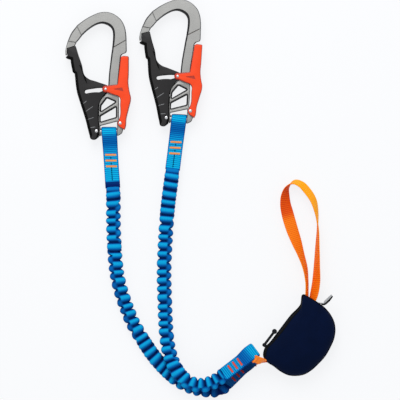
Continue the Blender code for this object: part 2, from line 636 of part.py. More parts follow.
def eye_profile(length, straight, taper, inner_half):
    """Side view of a folded webbing eye: outline and hole, from the fold's middle to the end."""
    outer_half = inner_half + WEBBING_THICKNESS
    closed_half = WEBBING_THICKNESS + PLY_GAP
    outer = arc((0, 0), outer_half, 90, 270, EYE_CURVE_STEPS * 2)
    inner = arc((0, 0), inner_half, 90, 270, EYE_CURVE_STEPS * 2)
    slopes = [k / EYE_CURVE_STEPS for k in range(EYE_CURVE_STEPS + 1)]
    for k in slopes:
        ease = k * k * (3 - 2 * k)
        along = straight + taper * k
        outer.append((along, -outer_half + (outer_half - closed_half) * ease))
        inner.append((along, -inner_half + (inner_half - PLY_GAP) * ease))
    run = length - outer_half
    mirrored = [(x, -y) for x, y in reversed(outer[-len(slopes):])]
    outer += [(run, -closed_half), (run, closed_half), *mirrored]
    inner += [(x, -y) for x, y in reversed(inner[-len(slopes):])]
    if not straight:
        outer, inner = outer[:-1], inner[:-1]
    return outer, inner


def carried(made, origin, x_way, y_way, z_way):
    """Solid's points carried from its own drawing axes onto three directions."""
    shape = bmesh.new()
    shape.from_mesh(made.data)
    ways = np.array((x_way, y_way, z_way))
    for corner in shape.verts:
        corner.co = Vector(origin) + Vector(np.array(corner.co) @ ways)
    if np.linalg.det(ways) < 0:
        bmesh.ops.reverse_faces(shape, faces=shape.faces)
    shape.to_mesh(made.data)
    shape.free()
    return made


def webbing_eye(name, centre, along, across, profile, look, parent):
    """Folded webbing eye: the profile carried across the webbing's width."""
    face = np.cross(along, across)
    made = slab(name, profile, -WEBBING_WIDTH / 2, WEBBING_WIDTH / 2, look, parent=parent)
    return carried(made, centre, along, face / np.linalg.norm(face), across)


def bar_tacks(name, start, along, across, face, look, parent, seam):
    """Three sewn bars and the seam that joins them, on one face of an eye."""
    reach = 2 * TACK_PITCH + TACK_WIDTH / 2
    half = TACK_LENGTH / 2
    thread = SEAM_WIDTH / 2
    outline = [(-TACK_WIDTH / 2, -half)]
    for k in range(3):
        low, high = k * TACK_PITCH - TACK_WIDTH / 2, k * TACK_PITCH + TACK_WIDTH / 2
        if k:
            outline += [(low, -thread), (low, -half)]
        outline += [(high, -half), (high, -thread)]
    if seam:
        outline.append((reach + seam, -thread))
    outline = outline + [(x, -y) for x, y in reversed(outline)]
    made = slab(name, [outline], GAP, GAP + TACK_HEIGHT, look, parent=parent)
    return carried(made, start, along, across, face)


def arm_path(side):
    """Eyes' ends and the smooth route between them: points from the upper to the lower eye."""
    upper_end, upper_along = upper_eye_frame(side)[:2]
    start = upper_end + upper_along * (UPPER_EYE_LENGTH + SLEEVE_GAP)
    turn = math.radians(LOWER_EYE_TURNS_DEG[side])
    end_along = np.array((math.cos(turn), math.sin(turn), 0))
    end = np.array(LOWER_EYE_PLACES[side]) - end_along * SLEEVE_GAP
    first, last = start + upper_along * SLEEVE_START_RUN, end - end_along * SLEEVE_START_RUN
    route = [(*start, CORNER), (*first, CORNER), *ARM_ROUTES[side], (*last, CORNER),
             (*end, CORNER)]
    return smooth(route, 6, False, 3)


def upper_eye_frame(side):
    """Fold's outermost place, direction and width direction of the eye at a carabiner."""
    turn = math.radians(BAR_TURNS_DEG[side])
    across = np.array((math.cos(turn), math.sin(turn), 0))
    lean = math.radians(UPPER_EYE_LEANS_DEG[side])
    along = np.array((math.sin(lean), -math.cos(lean), 0))
    centre = np.array(BAR_PLACES[side]) + across * EYE_OFFSET_SHARE * GRID
    fold = BAR_RADIUS + BAR_CLEARANCE + WEBBING_THICKNESS
    return centre - along * fold, along, across, centre


def resampled(route, spacing):
    """Route's points at an even spacing, both ends kept."""
    steps = np.linalg.norm(np.diff(route, axis=0), axis=1)
    travel = np.concatenate([[0], np.cumsum(steps)])
    count = max(int(round(travel[-1] / spacing)), 1)
    places = np.linspace(0, travel[-1], count + 1)
    return np.stack([np.interp(places, travel, route[:, k]) for k in range(3)], axis=1)


def tube_rings(route, widths, heights, sides, sway):
    """Oval rings square to a route; sway moves each ring sideways."""
    ahead = directions(route)
    across = np.cross(ahead, UP)
    across /= np.linalg.norm(across, axis=1)[:, None]
    lift = np.cross(across, ahead)
    angles = math.tau * (np.arange(sides) + 0.5) / sides
    flats = math.cos(math.pi / sides)
    return [[p + a * (w * math.cos(t) / flats / 2 + s) + u * h * math.sin(t) / flats / 2
             for t in angles]
            for p, a, u, w, h, s in zip(route, across, lift, widths, heights, sway)]


def stretch_arm(side, parent):
    """Gathered sleeve with its bore, elastic core, both sewn eyes and their tacks."""
    route = resampled(arm_path(side), GATHER_PITCH / 2)
    count = len(route)
    index = np.arange(count)
    crest = (index % 2 == 1) & (index > 3) & (index < count - 4)
    valley = (index % 2 == 0) & (index > 3) & (index < count - 4)
    size = np.where(valley, GATHER_VALLEY_SHARE, np.where(crest, 1.0, PLAIN_SHARE))
    sway = np.where(crest, SLEEVE_SWAY * np.where(index % 4 == 1, 1, -1), 0)
    outside = tube_rings(route, SLEEVE_WIDTH * size, SLEEVE_HEIGHT * size, SLEEVE_SIDES, sway)
    thin = np.concatenate([np.arange(0, count - 2, 4), [count - 1]])
    bore = CORE_DIAMETER + 2 * BORE_CLEARANCE
    still = np.zeros(len(thin))
    inside = tube_rings(route[thin], still + bore, still + bore, SLEEVE_SIDES, still)
    core = tube_rings(route[thin], still + CORE_DIAMETER, still + CORE_DIAMETER, SLEEVE_SIDES, still)
    lofted("elastic_core_" + side, core, CORE_WHITE, parent)
    points = [p for ring in outside + inside for p in ring]
    faces = []
    sides = SLEEVE_SIDES
    for first, rings in ((0, outside), (len(outside) * sides, inside)):
        for k in range(len(rings) - 1):
            start = first + k * sides
            faces += [(start + i, start + (i + 1) % sides, start + sides + (i + 1) % sides,
                       start + sides + i) for i in range(sides)]
    for near, far in ((0, len(outside)), (len(outside) - 1, len(outside) + len(inside) - 1)):
        faces += [(near * sides + i, near * sides + (i + 1) % sides,
                   far * sides + (i + 1) % sides, far * sides + i) for i in range(sides)]
    solid("arm_sleeve_" + side, points, faces, BLUE, parent)

    _, along, across, centre = upper_eye_frame(side)
    inner_half = BAR_RADIUS + BAR_CLEARANCE
    webbing_eye("upper_eye_" + side, centre, along, across,
                eye_profile(UPPER_EYE_LENGTH, 0, UPPER_EYE_TAPER, inner_half), BLUE, parent)
    flat = WEBBING_THICKNESS + PLY_GAP
    bar_tacks("upper_tacks_" + side, centre + along * FIRST_TACK + UP * flat, along, across, UP,
              TACK_ORANGE, parent, SEAM_LENGTH)

    _, forward, across, face = lower_eye_frame(side)
    fold_half = LOWER_EYE_HALF_HEIGHT + WEBBING_THICKNESS
    start = np.array(LOWER_EYE_PLACES[side])
    centre = start + forward * (LOWER_EYE_LENGTH - fold_half)
    webbing_eye("lower_eye_" + side, centre, -forward, across,
                eye_profile(LOWER_EYE_LENGTH, LOWER_EYE_STRAIGHT, LOWER_EYE_TAPER,
                            LOWER_EYE_HALF_HEIGHT), BLUE, parent)
    bar_tacks("lower_tacks_" + side, start + forward * FIRST_LOWER_TACK + face * flat, forward,
              across, face, TACK_RED, parent, 0)


def lower_eye_frame(side):
    """Middle of a lower eye's tunnel and its forward, width and face directions."""
    turn, tilt = math.radians(LOWER_EYE_TURNS_DEG[side]), math.radians(LOWER_EYE_TILTS_DEG[side])
    forward = np.array((math.cos(turn), math.sin(turn), 0))
    level = np.array((math.sin(turn), -math.cos(turn), 0))
    across = level * math.cos(tilt) + UP * math.sin(tilt)
    back = LOWER_EYE_HALF_HEIGHT + WEBBING_THICKNESS + LOWER_EYE_STRAIGHT / 2
    middle = np.array(LOWER_EYE_PLACES[side]) + forward * (LOWER_EYE_LENGTH - back)
    return middle, forward, across, np.cross(across, forward)


def eye_station(side, ahead, beyond, above):
    """Station of the link tape given from a lower eye's tunnel."""
    middle, forward, across, face = lower_eye_frame(side)
    return middle + forward * ahead + across * beyond + face * above, forward


# Stations of the link tape outside the eyes: place, and the direction of its width
LINK_TO_POUCH = [((0.0700, -0.1915, 0.0236), (0.7, 0.5, 0.5)),
                 ((0.0745, -0.1893, 0.0164), (0.2, 0.2, 1.0)),
                 ((0.0805, -0.1873, 0.0152), (0, 0, 1)),
                 ((0.0875, -0.1862, 0.0150), (0, 0, 1)),
                 ((0.0943, -0.1781, 0.0150), (0, 0, 1))]
LINK_FROM_POUCH = [((0.0960, -0.1796, 0.0150), (0, 0, 1)),
                   ((0.0880, -0.1892, 0.0150), (0, 0, 1)),
                   ((0.0815, -0.1912, 0.0152), (0, 0, 1)),
                   ((0.0762, -0.1928, 0.0125), (0.2, 0.2, 1)),
                   ((0.0710, -0.1955, 0.0072), (0.6, 0.6, 0.5))]
# Stations in the eyes, from each tunnel's middle: ahead, beyond, above
UPPER_TUNNEL = [(0, 0.0112, 0), (0, 0.0090, 0), (0, -0.0090, 0), (0, -0.0106, -0.0001),
                (-0.0006, -0.0122, -0.0020), (-0.0026, -0.0114, -0.0050)]
LOWER_TUNNEL = [(0, -0.0110, 0), (0, -0.0094, 0), (0, 0.0092, 0), (0, 0.0108, 0)]


def tape_route(stations, width):
    """Smooth centres and width directions through a tape's stations."""
    curve = smooth([(*place, *np.array(way) * width) for place, way in stations], 2, False, 6)
    return curve[:, :3], curve[:, 3:]


def link_tape(parent):
    """Tape from the absorber through both lower eyes and back."""
    stations = list(reversed(LINK_TO_POUCH))
    stations += [eye_station("b", *place) for place in UPPER_TUNNEL]
    stations += [eye_station("a", *place) for place in LOWER_TUNNEL]
    stations += list(reversed(LINK_FROM_POUCH))
    centres, across = tape_route(stations, LINK_TAPE_WIDTH)
    widths = np.full(len(centres), LINK_TAPE_WIDTH)
    return ribbon("link_tape", centres, across, widths, LINK_TAPE_THICKNESS, ORANGE, parent)


# Stations of the tie-in loop: place, and how far its width stands up from lying flat
TIE_IN_ROUTE = [
    (0.1273, -0.1325, 0.0150, 90), (0.1264, -0.1215, 0.0150, 86), (0.1262, -0.0960, 0.0148, 81),
    (0.1240, -0.0802, 0.0142, 68), (0.1192, -0.0649, 0.0132, 57), (0.1139, -0.0496, 0.0120, 36),
    (0.1083, -0.0336, 0.0108, 18), (0.1036, -0.0173, 0.0098, 15), (0.1008, -0.0039, 0.0092, 33),
    (0.1007, 0.0052, 0.0090, 47), (0.1029, 0.0142, 0.0090, 71), (0.1069, 0.0189, 0.0091, 90),
    (0.1121, 0.0201, 0.0092, 107), (0.1186, 0.0173, 0.0092, 115), (0.1257, 0.0100, 0.0091, 117),
    (0.1325, 0.0000, 0.0090, 113), (0.1372, -0.0150, 0.0090, 102), (0.1390, -0.0313, 0.0092, 90),
    (0.1385, -0.0560, 0.0100, 75), (0.1379, -0.0761, 0.0112, 66), (0.1365, -0.1003, 0.0132, 54),
    (0.1335, -0.1150, 0.0146, 58), (0.1310, -0.1235, 0.0150, 78), (0.1312, -0.1357, 0.0150, 90)]


def tie_in_loop(parent):
    """Twisted tape loop; each station's width leans from flat by its own angle."""
    half = TIE_IN_WIDTH / 2
    route = smooth([(x, y, z, math.radians(tilt) * half) for x, y, z, tilt in TIE_IN_ROUTE],
                   2, False, 4)
    centres, tilts = route[:, :3], route[:, 3] / half
    ahead = directions(centres)
    outward = -np.cross(ahead, UP)
    outward /= np.linalg.norm(outward, axis=1)[:, None]
    across = outward * np.cos(tilts)[:, None] + UP * np.sin(tilts)[:, None]
    widths = np.full(len(centres), TIE_IN_WIDTH)
    return ribbon("tie_in_loop", centres, across, widths, TIE_IN_THICKNESS, ORANGE, parent)


# Pouch outline in shares of POUCH_GRID, with half the gap between the panels at each point
POUCH_PLACE = (0.1168, -0.1605, 0)
POUCH_SHARES = [
    (4.2, 41.0, MOUTH_HALF_HEIGHT), (9.7, 38.6, MOUTH_HALF_HEIGHT),
    (15.3, 35.3, MOUTH_HALF_HEIGHT),
    (19.5, 32.4, MOUTH_HALF_HEIGHT), (26.3, 27.0, SEAM_HALF_GAP), (31.3, 20.6, SEAM_HALF_GAP),
    (34.4, 14.0, SEAM_HALF_GAP), (35.5, 6.5, SEAM_HALF_GAP), (34.4, -1.6, SEAM_HALF_GAP),
    (30.6, -10.8, SEAM_HALF_GAP), (25.2, -20, SEAM_HALF_GAP), (18.3, -27.6, SEAM_HALF_GAP),
    (11.4, -33.8, SEAM_HALF_GAP), (4.6, -37.6, SEAM_HALF_GAP), (-3.1, -38.9, SEAM_HALF_GAP),
    (-10.7, -38.2, SEAM_HALF_GAP), (-18.4, -34.5, SEAM_HALF_GAP),
    (-26, -28.6, LINK_MOUTH_HALF_HEIGHT),
    (-31.4, -25.2, LINK_MOUTH_HALF_HEIGHT), (-35.0, -20.5, LINK_MOUTH_HALF_HEIGHT),
    (-34.6, -14.5, ZIP_HALF_GAP), (-27, -4.5, ZIP_HALF_GAP), (-18, 7.5, ZIP_HALF_GAP),
    (-8, 20.5, ZIP_HALF_GAP), (0.5, 31.8, ZIP_HALF_GAP)]
POUCH_CENTRE_SHARES = (-1, -2)
PANEL_RING_SHARES = (1.0, 0.975, 0.90, 0.76, 0.52, 0.25)
DOME_POWER = 2.6
DOME_ROOT_SHARE = 0.45
FLAT_SHARE = 0.3


def pouch_panel(name, way, parent):
    """Domed panel with a wall, its rim following the gap to the other panel."""
    outline = smooth([(x * POUCH_GRID, y * POUCH_GRID, gap) for x, y, gap in POUCH_SHARES],
                     2, True, 3)[::-1]
    rim, gaps = outline[:, :2], np.maximum(outline[:, 2], SEAM_HALF_GAP)
    centre = np.array(POUCH_CENTRE_SHARES) * POUCH_GRID
    points = []
    for wall in (0, POUCH_WALL):
        edge = inset(rim, wall)
        for share in PANEL_RING_SHARES:
            rise = (1 - share**DOME_POWER) ** DOME_ROOT_SHARE if share > FLAT_SHARE else 1
            level = gaps + (POUCH_MID - wall - gaps) * rise
            ring = centre + (edge - centre) * share
            points += [(x, y, POUCH_MID + way * z) for (x, y), z in zip(ring, level)]
        points.append((*centre, POUCH_MID + way * (POUCH_MID - wall)))
    count, rings = len(rim), len(PANEL_RING_SHARES)
    shell = count * rings + 1
    faces = []
    for first in (0, shell):
        for k in range(rings - 1):
            start = first + k * count
            faces += [(start + i, start + (i + 1) % count, start + count + (i + 1) % count,
                       start + count + i) for i in range(count)]
        last = first + (rings - 1) * count
        faces += [(last + i, last + (i + 1) % count, first + shell - 1) for i in range(count)]
    faces += [(i, (i + 1) % count, shell + (i + 1) % count, shell + i) for i in range(count)]
    return solid(name, points, faces, NAVY, parent, POUCH_PLACE)


def absorber(parent):
    """Tear webbing folded to and fro in layers."""
    pitch = ABSORBER_WEBBING + ABSORBER_SPACING
    half = ABSORBER_LENGTH / 2
    left, right = [], []
    for layer in range(ABSORBER_LAYERS):
        base = (layer - (ABSORBER_LAYERS - 1) / 2) * pitch
        way = 1 if layer % 2 == 0 else -1
        end = half - pitch / 2 - ABSORBER_WEBBING / 2
        left.append((-way * end, base - ABSORBER_WEBBING / 2 * way))
        right.append((-way * end, base + ABSORBER_WEBBING / 2 * way))
        if layer == ABSORBER_LAYERS - 1:
            left.append((way * end, base - ABSORBER_WEBBING / 2 * way))
            right.append((way * end, base + ABSORBER_WEBBING / 2 * way))
            continue
        bend = (way * end, base + pitch / 2)
        outer = (pitch + ABSORBER_WEBBING) / 2
        inner = (pitch - ABSORBER_WEBBING) / 2
        turns = (-90, 90) if way > 0 else (270, 90)
        outside, inside = arc(bend, outer, *turns, 4), arc(bend, inner, *turns, 4)
        left += outside[:-1] if way > 0 else inside[:-1]
        right += inside[:-1] if way > 0 else outside[:-1]
    made = slab("absorber_webbing", [left + right[::-1]], -ABSORBER_WIDTH / 2, ABSORBER_WIDTH / 2,
                ORANGE, parent=parent)
    made.rotation_euler = (math.radians(90), 0, math.radians(ABSORBER_TURN_DEG))
    made.location = (POUCH_PLACE[0], POUCH_PLACE[1], POUCH_MID)
    return made


def zip_parts(parent):
    """Zip chain, its two tapes, the slider that rides on the chain and its pull."""
    start = (POUCH_PLACE[0] + ZIP_START_SHARES[0] * POUCH_GRID,
             POUCH_PLACE[1] + ZIP_START_SHARES[1] * POUCH_GRID, POUCH_MID)
    line = holder("zip_line", start, ZIP_TURN_DEG, parent)
    half_width, half_height = ZIP_CHAIN_WIDTH / 2, ZIP_CHAIN_HEIGHT / 2
    rings = []
    teeth = int(ZIP_LENGTH / ZIP_TOOTH_PITCH)
    for k in range(teeth * 2 + 1):
        size = 1 if k % 2 else ZIP_TOOTH_SHARE
        rings.append([(k * ZIP_LENGTH / teeth / 2, y * size, z * size) for y, z in (
            (half_width, half_height), (-half_width, half_height),
            (-half_width, -half_height), (half_width, -half_height))])
    lofted("zip_chain", rings, ZIP_BLACK, line)
    back = -(half_width + GAP + ZIP_TAPE_THICKNESS / 2)
    for name, way in (("zip_tape_front", 1), ("zip_tape_back", -1)):
        middle = way * (GAP / 2 + ZIP_TAPE_WIDTH / 2)
        ribbon(name, [(0, back, middle), (ZIP_LENGTH, back, middle)], [(0, 0, 1)] * 2,
               [ZIP_TAPE_WIDTH] * 2, ZIP_TAPE_THICKNESS, ZIP_BLACK, line)
    rider = holder("zip_slider_body", (0, 0, 0), 0, line)
    inner = half_height + GAP
    outer = inner + SLIDER_WALL
    front = half_width + GAP
    profile = [(front - SLIDER_REACH, outer), (front - SLIDER_REACH, inner), (front, inner),
               (front, -inner), (front - SLIDER_REACH, -inner), (front - SLIDER_REACH, -outer),
               (front + SLIDER_WALL, -outer), (front + SLIDER_WALL, outer)]
    slider = lofted("zip_slider", [[(x, y, z) for y, z in profile] for x in (0, SLIDER_LENGTH)],
                    ZIP_BLACK, rider)
    hinge_y = front + SLIDER_WALL + PULL_STANDOFF
    reach = BRIDGE_RADIUS + BRIDGE_EAR
    ear = [(SLIDER_LENGTH / 2 - reach, front + SLIDER_WALL / 2),
           (SLIDER_LENGTH / 2 + reach, front + SLIDER_WALL / 2),
           *arc((SLIDER_LENGTH / 2, hinge_y), reach, 0, 180, 4)]
    for way in (1, -1):
        heights = sorted((way * BRIDGE_HALF, way * (BRIDGE_HALF + BRIDGE_EAR)))
        combine(slider, slab("slider_ear", [ear], *heights, ZIP_BLACK, parent=rider), "UNION")
    end = BRIDGE_HALF + BRIDGE_EAR / 2
    combine(slider, turned_pin("slider_pin", [(BRIDGE_RADIUS, -end), (BRIDGE_RADIUS, end)],
                               ZIP_BLACK, rider, (SLIDER_LENGTH / 2, hinge_y, 0)), "UNION")
    pull = holder("zip_pull_body", (SLIDER_LENGTH / 2, hinge_y, 0), 0, rider)
    hole = BRIDGE_RADIUS + GAP
    neck = math.degrees(math.asin(PULL_WIDTH / 2 / (hole + PULL_EYE_WALL)))
    knob = math.degrees(math.asin(PULL_WIDTH / 2 / PULL_KNOB_RADIUS))
    outline = arc((0, 0), hole + PULL_EYE_WALL, neck, 360 - neck, 10)
    outline += arc((PULL_LENGTH, 0), PULL_KNOB_RADIUS, knob - 180, 180 - knob, 10)
    return slab("zip_pull", [outline, circle((0, 0), hole)], GAP - BRIDGE_HALF,
                BRIDGE_HALF - GAP, ZIP_BLACK, parent=pull)


# Stations of the label tab: place, and the direction of its width
LABEL_ROUTE = [((0.1392, -0.1210, 0.0205), (0, 0.1, 1)), ((0.1425, -0.1214, 0.0205), (0, 0.1, 1)),
               ((0.1457, -0.1216, 0.0200), (-0.1, 0.4, 1)),
               ((0.1505, -0.1188, 0.0195), (-0.35, 0.55, 0.75)),
               ((0.1560, -0.1140, 0.0190), (-0.35, 0.5, 0.8))]


def label_tab(parent):
    """Curled strip sewn into the pouch's seam."""
    centres, across = tape_route(LABEL_ROUTE, LABEL_WIDTH)
    return ribbon("label_tab", centres, across, np.full(len(centres), LABEL_WIDTH),
                  LABEL_THICKNESS, LABEL_GREY, parent)


def build():
    """Whole lanyard under one empty."""
    lanyard = holder("lanyard", (LAYOUT_X, LAYOUT_Y, 0))
    for side in ("a", "b"):
        carabiner(side, BAR_PLACES[side], BAR_TURNS_DEG[side], lanyard)
        stretch_arm(side, lanyard)
    link_tape(lanyard)
    tie_in_loop(lanyard)
    pouch_panel("pouch_front", 1, lanyard)
    pouch_panel("pouch_back", -1, lanyard)
    absorber(lanyard)
    zip_parts(lanyard)
    label_tab(lanyard)


build()
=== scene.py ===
"""Looks of the via ferrata lanyard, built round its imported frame."""
import logging
import math
from dataclasses import dataclass, replace
from enum import Enum

import bmesh
import bpy
import numpy as np
from bpy.types import ID, Material, Mesh, Node, NodeSocket, NodeTree, Object
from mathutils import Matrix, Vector
from mathutils.geometry import tessellate_polygon


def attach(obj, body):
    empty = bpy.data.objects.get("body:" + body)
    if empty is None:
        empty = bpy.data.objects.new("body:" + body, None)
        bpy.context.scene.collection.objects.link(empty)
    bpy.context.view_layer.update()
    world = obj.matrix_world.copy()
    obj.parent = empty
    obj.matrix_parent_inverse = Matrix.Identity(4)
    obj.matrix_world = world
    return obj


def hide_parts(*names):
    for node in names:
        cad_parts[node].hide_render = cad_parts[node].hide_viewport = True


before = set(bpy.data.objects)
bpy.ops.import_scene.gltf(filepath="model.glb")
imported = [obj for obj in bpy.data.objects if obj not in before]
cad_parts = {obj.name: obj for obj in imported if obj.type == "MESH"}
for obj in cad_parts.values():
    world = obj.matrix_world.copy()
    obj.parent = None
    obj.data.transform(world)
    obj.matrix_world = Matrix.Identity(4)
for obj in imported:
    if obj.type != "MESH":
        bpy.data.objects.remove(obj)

log = logging.getLogger("lanyard")
logging.basicConfig(level=logging.INFO, format="%(message)s")

Array = np.ndarray
Spot = tuple[float, float]
Place = tuple[float, float, float]

UP = np.array((0.0, 0.0, 1.0))
LAYOUT = np.array((0.00005, -0.0061, 0.0))
MM = 0.001
TINY = 1e-9
SHARP_DEG = 32.0
CLOTH_MAP = "cloth"
# Point attribute of painted light on cloth: 0 in full painted shade, 1 fully lit
PAINTED_LIGHT = "painted_light"
# Columns of a tape's section, above and below, that its border along one edge takes up
BORDER_COLUMNS = 6
# Shares of a tape's half width between which its painted light fades into a painted shade along
# its edge
EDGE_SHADE_SHARES = (0.86, 0.95)


class Side(Enum):
    """The two arms of the lanyard."""
    A = "a"
    B = "b"


def linear(code: str) -> tuple[float, ...]:
    """Linear colour of an sRGB hex value.

    Args:
        code: Six hex digits.

    Returns:
        Red, green, blue and an alpha of one.
    """
    channels = np.array([int(code[i:i + 2], 16) for i in (0, 2, 4)]) / 255
    spread = np.where(channels <= 0.04045, channels / 12.92, ((channels + 0.055) / 1.055) ** 2.4)
    return (*spread.tolist(), 1.0)


def add_node(tree: NodeTree, kind: str, values: dict | None = None, **settings: object) -> Node:
    """Adds one node with its settings, and sets or links its inputs.

    Args:
        tree: Node tree that gets the node.
        kind: The node's type name.
        values: For an input's name or index, a value or the socket that feeds it.
        settings: The node's own properties.

    Returns:
        The new node.
    """
    node = tree.nodes.new(kind)
    for name, value in settings.items():
        setattr(node, name, value)
    for key, value in (values or {}).items():
        if isinstance(value, NodeSocket):
            tree.links.new(value, node.inputs[key])
        else:
            node.inputs[key].default_value = value
    return node


def maths(tree: NodeTree, operation: str, first: object, second: object = 0.0) -> NodeSocket:
    """Result of a math node, whose inputs are values or sockets."""
    return add_node(tree, "ShaderNodeMath", {0: first, 1: second},
                    operation=operation).outputs[0]


def mapped(tree: NodeTree, value: NodeSocket, old: Spot = (0.0, 1.0),
           new: Spot = (0.0, 1.0)) -> NodeSocket:
    """Value carried from an old range to a new one, and kept inside it.

    Args:
        tree: Node tree that gets the nodes.
        value: The value.
        old: Its range.
        new: The range that it gets.

    Returns:
        The new value.
    """
    return add_node(tree, "ShaderNodeMapRange", {
        "Value": value, "From Min": old[0], "From Max": old[1], "To Min": new[0],
        "To Max": new[1]}).outputs[0]


def mixed(tree: NodeTree, share: NodeSocket, low: object, high: object) -> NodeSocket:
    """Colour between two, which are values or sockets, by a share from 0 to 1."""
    return add_node(tree, "ShaderNodeMix", {0: share, 6: low, 7: high},
                    data_type="RGBA").outputs[2]


@dataclass(frozen=True)
class Finish:
    """Rigid finish: a base tone with a fine grain in it, by the piece's own coordinates."""
    name: str
    colour: str
    second: str
    roughness: float
    metallic: float = 0.0
    grain: float = 1.2 * MM
    depth: float = 0.03 * MM
    contrast: float = 0.5
    specular: float = 0.5

    IOR = 1.5
    # Size of the broad noise against the fine one, and their sum's range that is used
    BROAD = 12
    NOISE = (0.7, 1.3)
    ROUGH_SPREAD = 0.05

    def surface(self, tree: NodeTree) -> tuple[NodeSocket, ...]:
        """Tone between the two colours, and the relief: noise of the grain's size.

        Args:
            tree: Node tree that gets the nodes.

        Returns:
            Tone from 0 to 1 and height of the relief.
        """
        place = add_node(tree, "ShaderNodeTexCoord").outputs["Object"]
        fine, broad = (add_node(tree, "ShaderNodeTexNoise", {
            "Vector": place, "Scale": 1 / (self.grain * size), "Detail": detail}).outputs[0]
            for size, detail in ((1, 3.0), (self.BROAD, 2.0)))
        both = maths(tree, "ADD", fine, broad)
        return mapped(tree, both, self.NOISE, (1 - self.contrast, 1.0)), fine

    def tint(self, tree: NodeTree, tone: NodeSocket) -> NodeSocket:
        """Colour of each tone, from the second colour at 0 to the main one at 1."""
        return mixed(tree, tone, linear(self.second), linear(self.colour))

    def material(self) -> Material:
        """The finish's material, made once.

        Returns:
            The material.
        """
        made = bpy.data.materials.get(self.name)
        if made:
            return made
        made = bpy.data.materials.new(self.name)
        made.use_nodes = True
        tree = made.node_tree
        shader = tree.nodes["Principled BSDF"]
        shader.inputs["Metallic"].default_value = self.metallic
        if not self.metallic:
            shader.inputs["IOR"].default_value = self.IOR
            shader.inputs["Specular IOR Level"].default_value = self.specular
        tone, relief = self.surface(tree)
        rough = mapped(tree, relief, new=(self.roughness - self.ROUGH_SPREAD,
                                          self.roughness + self.ROUGH_SPREAD))
        bump = add_node(tree, "ShaderNodeBump", {"Height": relief, "Distance": self.depth})
        tree.links.new(self.tint(tree, tone), shader.inputs["Base Color"])
        tree.links.new(rough, shader.inputs["Roughness"])
        tree.links.new(bump.outputs[0], shader.inputs["Normal"])
        return made


@dataclass(frozen=True)
class Woven(Finish):
    """Woven tape: ribs across its length and yarns along it, by its own cloth map in metres."""
    rib: float = 2.2 * MM
    yarn: float = 2.0 * MM
    twill: float = 1.0

    WAVES = (-1.6, 1.6)

    def weave(self, tree: NodeTree) -> NodeSocket:
        """Height of the weave from 0 to 1: a wave along the tape times a wave across it.

        Args:
            tree: Node tree that gets the nodes.

        Returns:
            The height.
        """
        place = add_node(tree, "ShaderNodeUVMap", uv_map=CLOTH_MAP)
        split = add_node(tree, "ShaderNodeSeparateXYZ", {0: place.outputs[0]})
        ribs, yarns = (maths(tree, "SINE", maths(tree, "MULTIPLY", split.outputs[axis],
                                                 math.tau / pitch))
                       for axis, pitch in ((0, self.rib), (1, self.yarn)))
        checks = maths(tree, "MULTIPLY", maths(tree, "MULTIPLY", ribs, yarns), self.twill)
        return mapped(tree, maths(tree, "ADD", ribs, checks), self.WAVES)

    def surface(self, tree: NodeTree) -> tuple[NodeSocket, ...]:
        """Tone and relief of the weave."""
        height = self.weave(tree)
        return mapped(tree, height, new=(1 - self.contrast, 1.0)), height


@dataclass(frozen=True)
class PaintedLightWoven(Woven):
    """Woven cloth with painted light: lit on the crests and in painted shade down in the folds, by
    each point's painted light value.
    """
    middle: str = "0a55a8"

    MIDDLE_TONE = 0.5
    LIGHT_SHARE = 0.6

    def tint(self, tree: NodeTree, tone: NodeSocket) -> NodeSocket:
        """Colour of each tone through a middle one, as the cloth turns away from the light.

        Args:
            tree: Node tree that gets the nodes.
            tone: The tone.

        Returns:
            The colour.
        """
        dark = mixed(tree, mapped(tree, tone, (0.0, self.MIDDLE_TONE)), linear(self.second),
                     linear(self.middle))
        return mixed(tree, mapped(tree, tone, (self.MIDDLE_TONE, 1.0)), dark,
                     linear(self.colour))

    def surface(self, tree: NodeTree) -> tuple[NodeSocket, ...]:
        """Weave's tone times the piece's painted light value: painted shade where a fold goes down
        or the cloth turns from the light.

        Args:
            tree: Node tree that gets the nodes.

        Returns:
            Tone from 0 to 1 and height of the relief.
        """
        height = self.weave(tree)
        # Each point's painted light value
        crest = add_node(tree, "ShaderNodeAttribute", attribute_name=PAINTED_LIGHT)
        tone = mapped(tree, height, new=(1 - self.contrast, 1 + self.LIGHT_SHARE * self.contrast))
        return maths(tree, "MULTIPLY", crest.outputs["Fac"], tone), height


# Anodised aluminium, bead blasted and faced: an even satin grey
FACED = Finish("anodised_grey_aluminium", "a5a5a3", "929290", 0.42, 1.0, contrast=0.5)
# The same aluminium's walls and chamfers: nearly black with a little shine, a painted dark
# reflection
EDGE = Finish("painted_reflection_edge", "1b1b1e", "101013", 0.4, contrast=0.6, specular=0.4)
# Glass-filled nylon, moulded with a fine spark texture: satin, nearly black
MOULDED = Finish("moulded_black_nylon", "242324", "1c1b1c", 0.55, grain=0.9 * MM, contrast=0.5,
                 specular=0.25)
# The moulding's flank and walls: a near-black copy of it, a painted shade, polished so that it
# keeps a clear highlight
FLANK = Finish("painted_shade_black_nylon", "040404", "020202", 0.35, contrast=0.5, specular=0.08)
# The ribs: the same moulding drawn grey, a painted highlight for their glints
RIB = Finish("painted_glint_nylon", "77797b", "5d5e61", 0.35)
# Anodised lever: smooth orange-red with a soft highlight
LEVER_RED = Finish("anodised_orange_aluminium", "f2481a", "e43e12", 0.45, contrast=0.6,
                   specular=0.25)
# The lever's rims, walls and pocket: a darker copy of its red, a painted shade
LEVER_EDGE = Finish("painted_shade_orange_edge", "b42c10", "9c220a", 0.45, contrast=0.6)
# Stainless steel, turned: bright and a little scratched
RIVET = Finish("turned_steel", "e2e3e5", "c4c6c9", 0.25, 1.0, grain=0.6 * MM)
SPRING = Finish("drawn_spring_steel", "a9acaf", "84878a", 0.3, 1.0, grain=0.5 * MM)
SPACER = Finish("turned_nylon", "e2e0d8", "cfccc2", 0.5, contrast=0.6)
